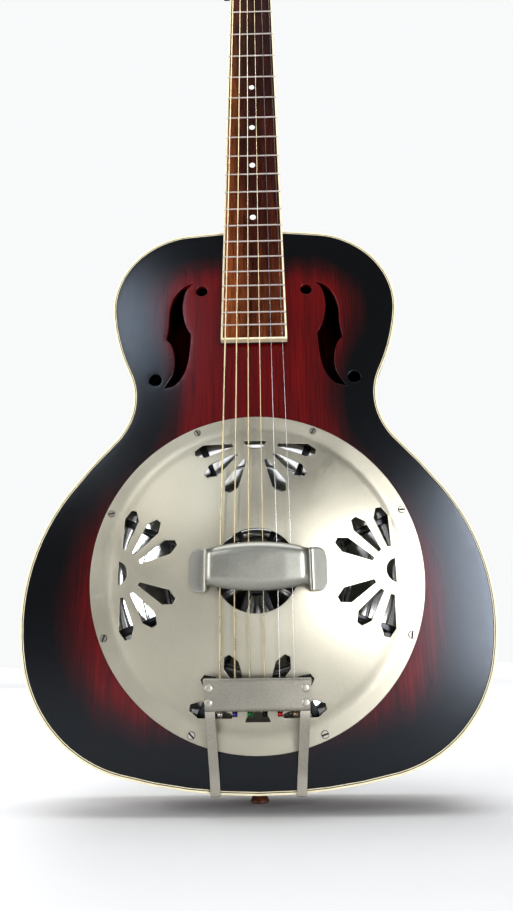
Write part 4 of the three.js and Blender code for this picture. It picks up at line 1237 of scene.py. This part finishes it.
def tuner_button():
    """An oval metal button on a waisted collar, drawn along X."""
    collar = []
    for x, r in ((0, 2.7), (0.8, 2.9), (2.2, 2.1), (4, 1.9)):
        collar.append([Vector((x, p.x, p.y)) for p in circle(r, 24)])
    oval = []
    for k in range(19):
        a = math.pi * k / 18
        x, size = 9 - 7.2 * math.cos(a), max(math.sin(a), 0.02)
        section = []
        for b in np.linspace(0, TURN, 32, endpoint=False).tolist():
            c, s = math.cos(b), math.sin(b)
            thick = 2.95 * size ** 0.6
            section.append(Vector((x, 9.2 * size ** 0.8 * math.copysign(abs(c) ** 0.85, c),
                                   thick * math.copysign(abs(s) ** 0.75, s))))
        oval.append(section)
    return together(loft(collar), loft(oval))


def tuner_base():
    """A long plate with rounded ends and a pair of ears for each worm."""
    top = -HEAD_T
    low = top - GLUE - TUNER_PLATE_T
    y0, y1 = POST_Y[0] - 14, POST_Y[2] + 20
    outline = []
    half = 8
    for centre, start in ((v2(0, y1 - half), 0), (v2(0, y0 + half), math.pi)):
        turns = np.linspace(start, start + math.pi, 20).tolist()
        outline += [centre + v2(half * math.cos(a), half * math.sin(a)) for a in turns]
    shapes = [plate(outline, [], low, top, 0.35)]
    ear_half, ear_reach, ear_x, half_sheet = 3.3, 3.1, 7.1, 0.85
    for y in POST_Y:
        axis = y + WORM_OFFSET
        turns = np.linspace(math.pi, TURN, 16).tolist()
        ear = [v2(axis + ear_half * math.cos(a), GEAR_Z + ear_reach * math.sin(a)) for a in turns]
        ear = [v2(axis - ear_half, low + 0.4)] + ear + [v2(axis + ear_half, low + 0.4)]
        bore = circle(WORM_PITCH_R - TOOTH_DED + 0.2, 16, (axis, GEAR_Z))
        flat = plate(ear, [bore], -half_sheet, half_sheet, 0.2)
        for x in (-ear_x, ear_x):
            shapes.append(moved(flat, Matrix(((0, 0, 1, x), (1, 0, 0, 0), (0, 1, 0, 0), (0, 0, 0, 1)))))
    return together(*shapes)


def tuners():
    for side, word in SIDES:
        at = HEAD @ shift(side * POST_X, 0, 0)
        piece(f"tuner_base_{word}", tuner_base(), tuner_nickel,
              replaces=[f"tuner_plate_{word}"], at=at)
        low = -HEAD_T - GLUE - TUNER_PLATE_T
        for k, y in enumerate((POST_Y[0] - 9.5, POST_Y[0] + 19.5, POST_Y[1] + 19.5, POST_Y[2] + 15.5)):
            flip = shift(0, y, low + 0.15) @ spin(math.pi, "X")
            place = at @ flip @ spin(0.9 * k)
            screw(f"tuner_base_screw_{word}_{k + 1}", place, 1.9, 0.9, 0.35)
    post = [v2(0, GEAR_Z - 3), v2(POST_R + 0.9, GEAR_Z - 3), v2(POST_R + 0.9, GEAR_Z - 1.7),
            v2(POST_R - 0.6, GEAR_Z - 1.7), v2(POST_R - 0.6, GEAR_Z + 1.7), v2(POST_R, GEAR_Z + 1.7),
            v2(POST_R, 5), v2(POST_R - 0.5, 6.5), v2(POST_R - 0.5, 9.5), v2(POST_R, 11.5),
            v2(POST_R - 0.1, POST_Z), v2(0, POST_Z)]
    bushing = [v2(POST_R + 0.25, 0), v2(POST_R + 1.15, 0), v2(POST_R + 1.15, 1.8), v2(POST_R + 2.3, 1.85),
               v2(POST_R + 2.2, 2.6), v2(POST_R + 0.9, 3.4), v2(POST_R + 0.25, 3.4)]
    thread, core = worm()
    for tuner in TUNERS:
        n, side, x, y = tuner["string"], tuner["side"], tuner["x"], tuner["y"]
        at = HEAD @ shift(x, y, 0)
        piece(f"post_{n}", turned(rounded(post, 0.35, 3), 36), tuner_nickel, body=f"post_{n}",
              replaces=[f"tuner_post_{n}"], at=at)
        piece(f"post_bushing_{n}", turned(rounded(bushing, 0.35, 3), 36), tuner_nickel, at=at)
        low_screw = at @ shift(0, 0, GEAR_Z - 2.9) @ spin(math.pi, "X")
        screw(f"gear_screw_{n}", low_screw, 2.0, 0.45, 0.4, f"post_{n}")
        piece(f"gear_{n}", gear(), gear_brass, body=f"post_{n}", replaces=[f"tuner_gear_{n}"],
              at=at @ shift(0, 0, GEAR_Z))
        axis = at @ shift(0, WORM_OFFSET, GEAR_Z)
        low_end, high_end = sorted((-side * 9.5, side * (BUTTON_X - POST_X - 3)))
        stations = [Vector((d, 0, 0)) for d in (low_end, low_end + 0.3, high_end - 0.3, high_end)]
        shaft = tube(stations, [core - 0.3, core, core, core - 0.3], 24)
        piece(f"worm_{n}", together(shaft, thread), tuner_nickel, body=f"key_{n}",
              replaces=[f"worm_shaft_{n}"], at=axis, sharp=50)
        outwards = HEAD @ shift(side * (BUTTON_X - 3 + GLUE), y + WORM_OFFSET, GEAR_Z)
        if side < 0:
            outwards = outwards @ spin(math.pi)
        piece(f"button_{n}", tuner_button(), tuner_nickel, body=f"key_{n}",
              replaces=[f"tuner_button_{n}"], at=outwards)


# ---------------------------------------------------------------- studio

LIGHT_AIM = Vector((0, 0, -0.5))
DAYLIGHT = (0.95, 0.97, 1.0)
BACKDROP = (0.90, 0.905, 0.91, 1)
CEILING_LIGHT = 3.6
FLOOR_REACH = 40.0


def softbox(name, azimuth, elevation, distance, size, power, colour=(1, 1, 1)):
    """A rectangular light. Azimuth 0 is in front of the guitar and 90 on its treble side."""
    light = bpy.data.lights.new(name, "AREA")
    light.shape = "RECTANGLE"
    light.size, light.size_y = size
    light.energy = power
    light.color = colour
    lamp = bpy.data.objects.new(name, light)
    bpy.context.scene.collection.objects.link(lamp)
    a, e = math.radians(azimuth), math.radians(elevation)
    back = Vector((math.sin(a) * math.cos(e), -math.cos(a) * math.cos(e), math.sin(e)))
    lamp.location = LIGHT_AIM + back * distance
    lamp.rotation_euler = back.to_track_quat("Z", "Y").to_euler()
    lamp.visible_camera = False


def surroundings():
    """A plain backdrop for the camera, and for all else a dim room lit from the ceiling."""
    world = bpy.data.worlds.new("studio")
    bpy.context.scene.world = world
    world.use_nodes = True
    tree = world.node_tree
    background, output = tree.nodes["Background"], tree.nodes["World Output"]
    names = ("Background", "TexCoord", "SeparateXYZ", "ValToRGB", "LightPath", "MixShader")
    seen, where, split, sky, path, mixed = [tree.nodes.new("ShaderNode" + name) for name in names]
    seen.inputs["Color"].default_value = BACKDROP
    background.inputs["Strength"].default_value = CEILING_LIGHT
    stops = ((0.84, (0.07, 0.07, 0.07, 1)), (0.96, (*DAYLIGHT, 1)))
    for element, (position, colour) in zip(sky.color_ramp.elements, stops):
        element.position = position
        element.color = colour
    links = ((where.outputs["Generated"], split.inputs[0]), (split.outputs["Z"], sky.inputs[0]),
             (sky.outputs[0], background.inputs["Color"]), (path.outputs["Is Camera Ray"], mixed.inputs[0]),
             (background.outputs[0], mixed.inputs[1]), (seen.outputs[0], mixed.inputs[2]),
             (mixed.outputs[0], output.inputs[0]))
    for source, target in links:
        tree.links.new(source, target)


def windows():
    """Soft lights that the lacquer and the metal mirror, with a fill from the side and from behind."""
    softbox("treble_window", 33, 3, 2.2, (0.54, 0.85), 23, DAYLIGHT)
    softbox("treble_window_edge", 23.5, 3, 2.2, (0.25, 0.8), 10, DAYLIGHT)
    softbox("treble_window_haze", 18, 3, 2.2, (0.2, 0.8), 1.4, DAYLIGHT)
    softbox("bass_window", -28, 25, 2.4, (0.85, 0.9), 6.5)
    softbox("bass_window_edge", -17, 31, 2.4, (0.25, 0.4), 2.8, (0.8, 0.9, 1.0))
    softbox("bass_side", -72, 12, 2.2, (1.0, 1.4), 22)
    softbox("back_fill", 200, 30, 2.6, (1.6, 1.6), 30)


def pale_floor():
    """A matt floor that glows a little far from the guitar, so that it stays pale."""
    floor_mesh = bpy.data.meshes.new("floor")
    level = cad_box[0].z - 0.002
    corners = [(x * FLOOR_REACH, y * FLOOR_REACH, level) for x, y in ((-1, -1), (1, -1), (1, 1), (-1, 1))]
    floor_mesh.from_pydata(corners, [], [(0, 1, 2, 3)])
    floor = bpy.data.objects.new("floor", floor_mesh)
    bpy.context.scene.collection.objects.link(floor)
    pale = Finish("floor_paint", Roughness=0.8, Specular_IOR_Level=0.2, Emission_Color=(1, 1, 1, 1))
    away = pale.node("VectorMath", {0: pale.place((1, 1, 0))}, "Value", operation="LENGTH")
    glow = pale.range(away, 1.2, 5.0, 0.0, 0.33)
    pale.tree.links.new(glow, pale.shader.inputs["Emission Strength"])
    pale.colour(pale.ramp(pale.noise((3, 3, 3), 3), (0.3, grey(0.78)), (0.7, grey(0.82))))
    floor_mesh.materials.append(pale.material)


def tone():
    """Slightly darker middle tones than the plain display curve gives, on a slightly brighter picture."""
    view = bpy.context.scene.view_settings
    view.view_transform = "Standard"
    view.gamma = 0.9
    view.exposure = 0.08


def camera():
    data = bpy.data.cameras.new("camera")
    data.lens = LENS
    data.sensor_width = 36
    data.clip_start = 0.02
    aim = spin(AIM_YAW) @ spin(AIM_PITCH, "X") @ spin(AIM_ROLL, "Y")
    camera_object = bpy.data.objects.new("camera", data)
    bpy.context.scene.collection.objects.link(camera_object)
    camera_object.matrix_world = shift(*EYE) @ aim @ spin(math.pi / 2, "X")
    bpy.context.scene.camera = camera_object


# ---------------------------------------------------------------- the guitar

box()
strap_peg()
cover()
cone()
spider()
saddles()
hand_rest()
tailpiece()
tail_straps()
strings()
fretboard()
string_nut()
neck()
tuners()
for row in frame["record"]["subparts"]:
    finish = CAD_FINISHES.get(row.get("material_slot"))
    node = frame["nodes"][row["node"]]
    if finish and not node.hide_render:
        node.data.materials.clear()
        node.data.materials.append(finish)
surroundings()
windows()
pale_floor()
tone()
camera()
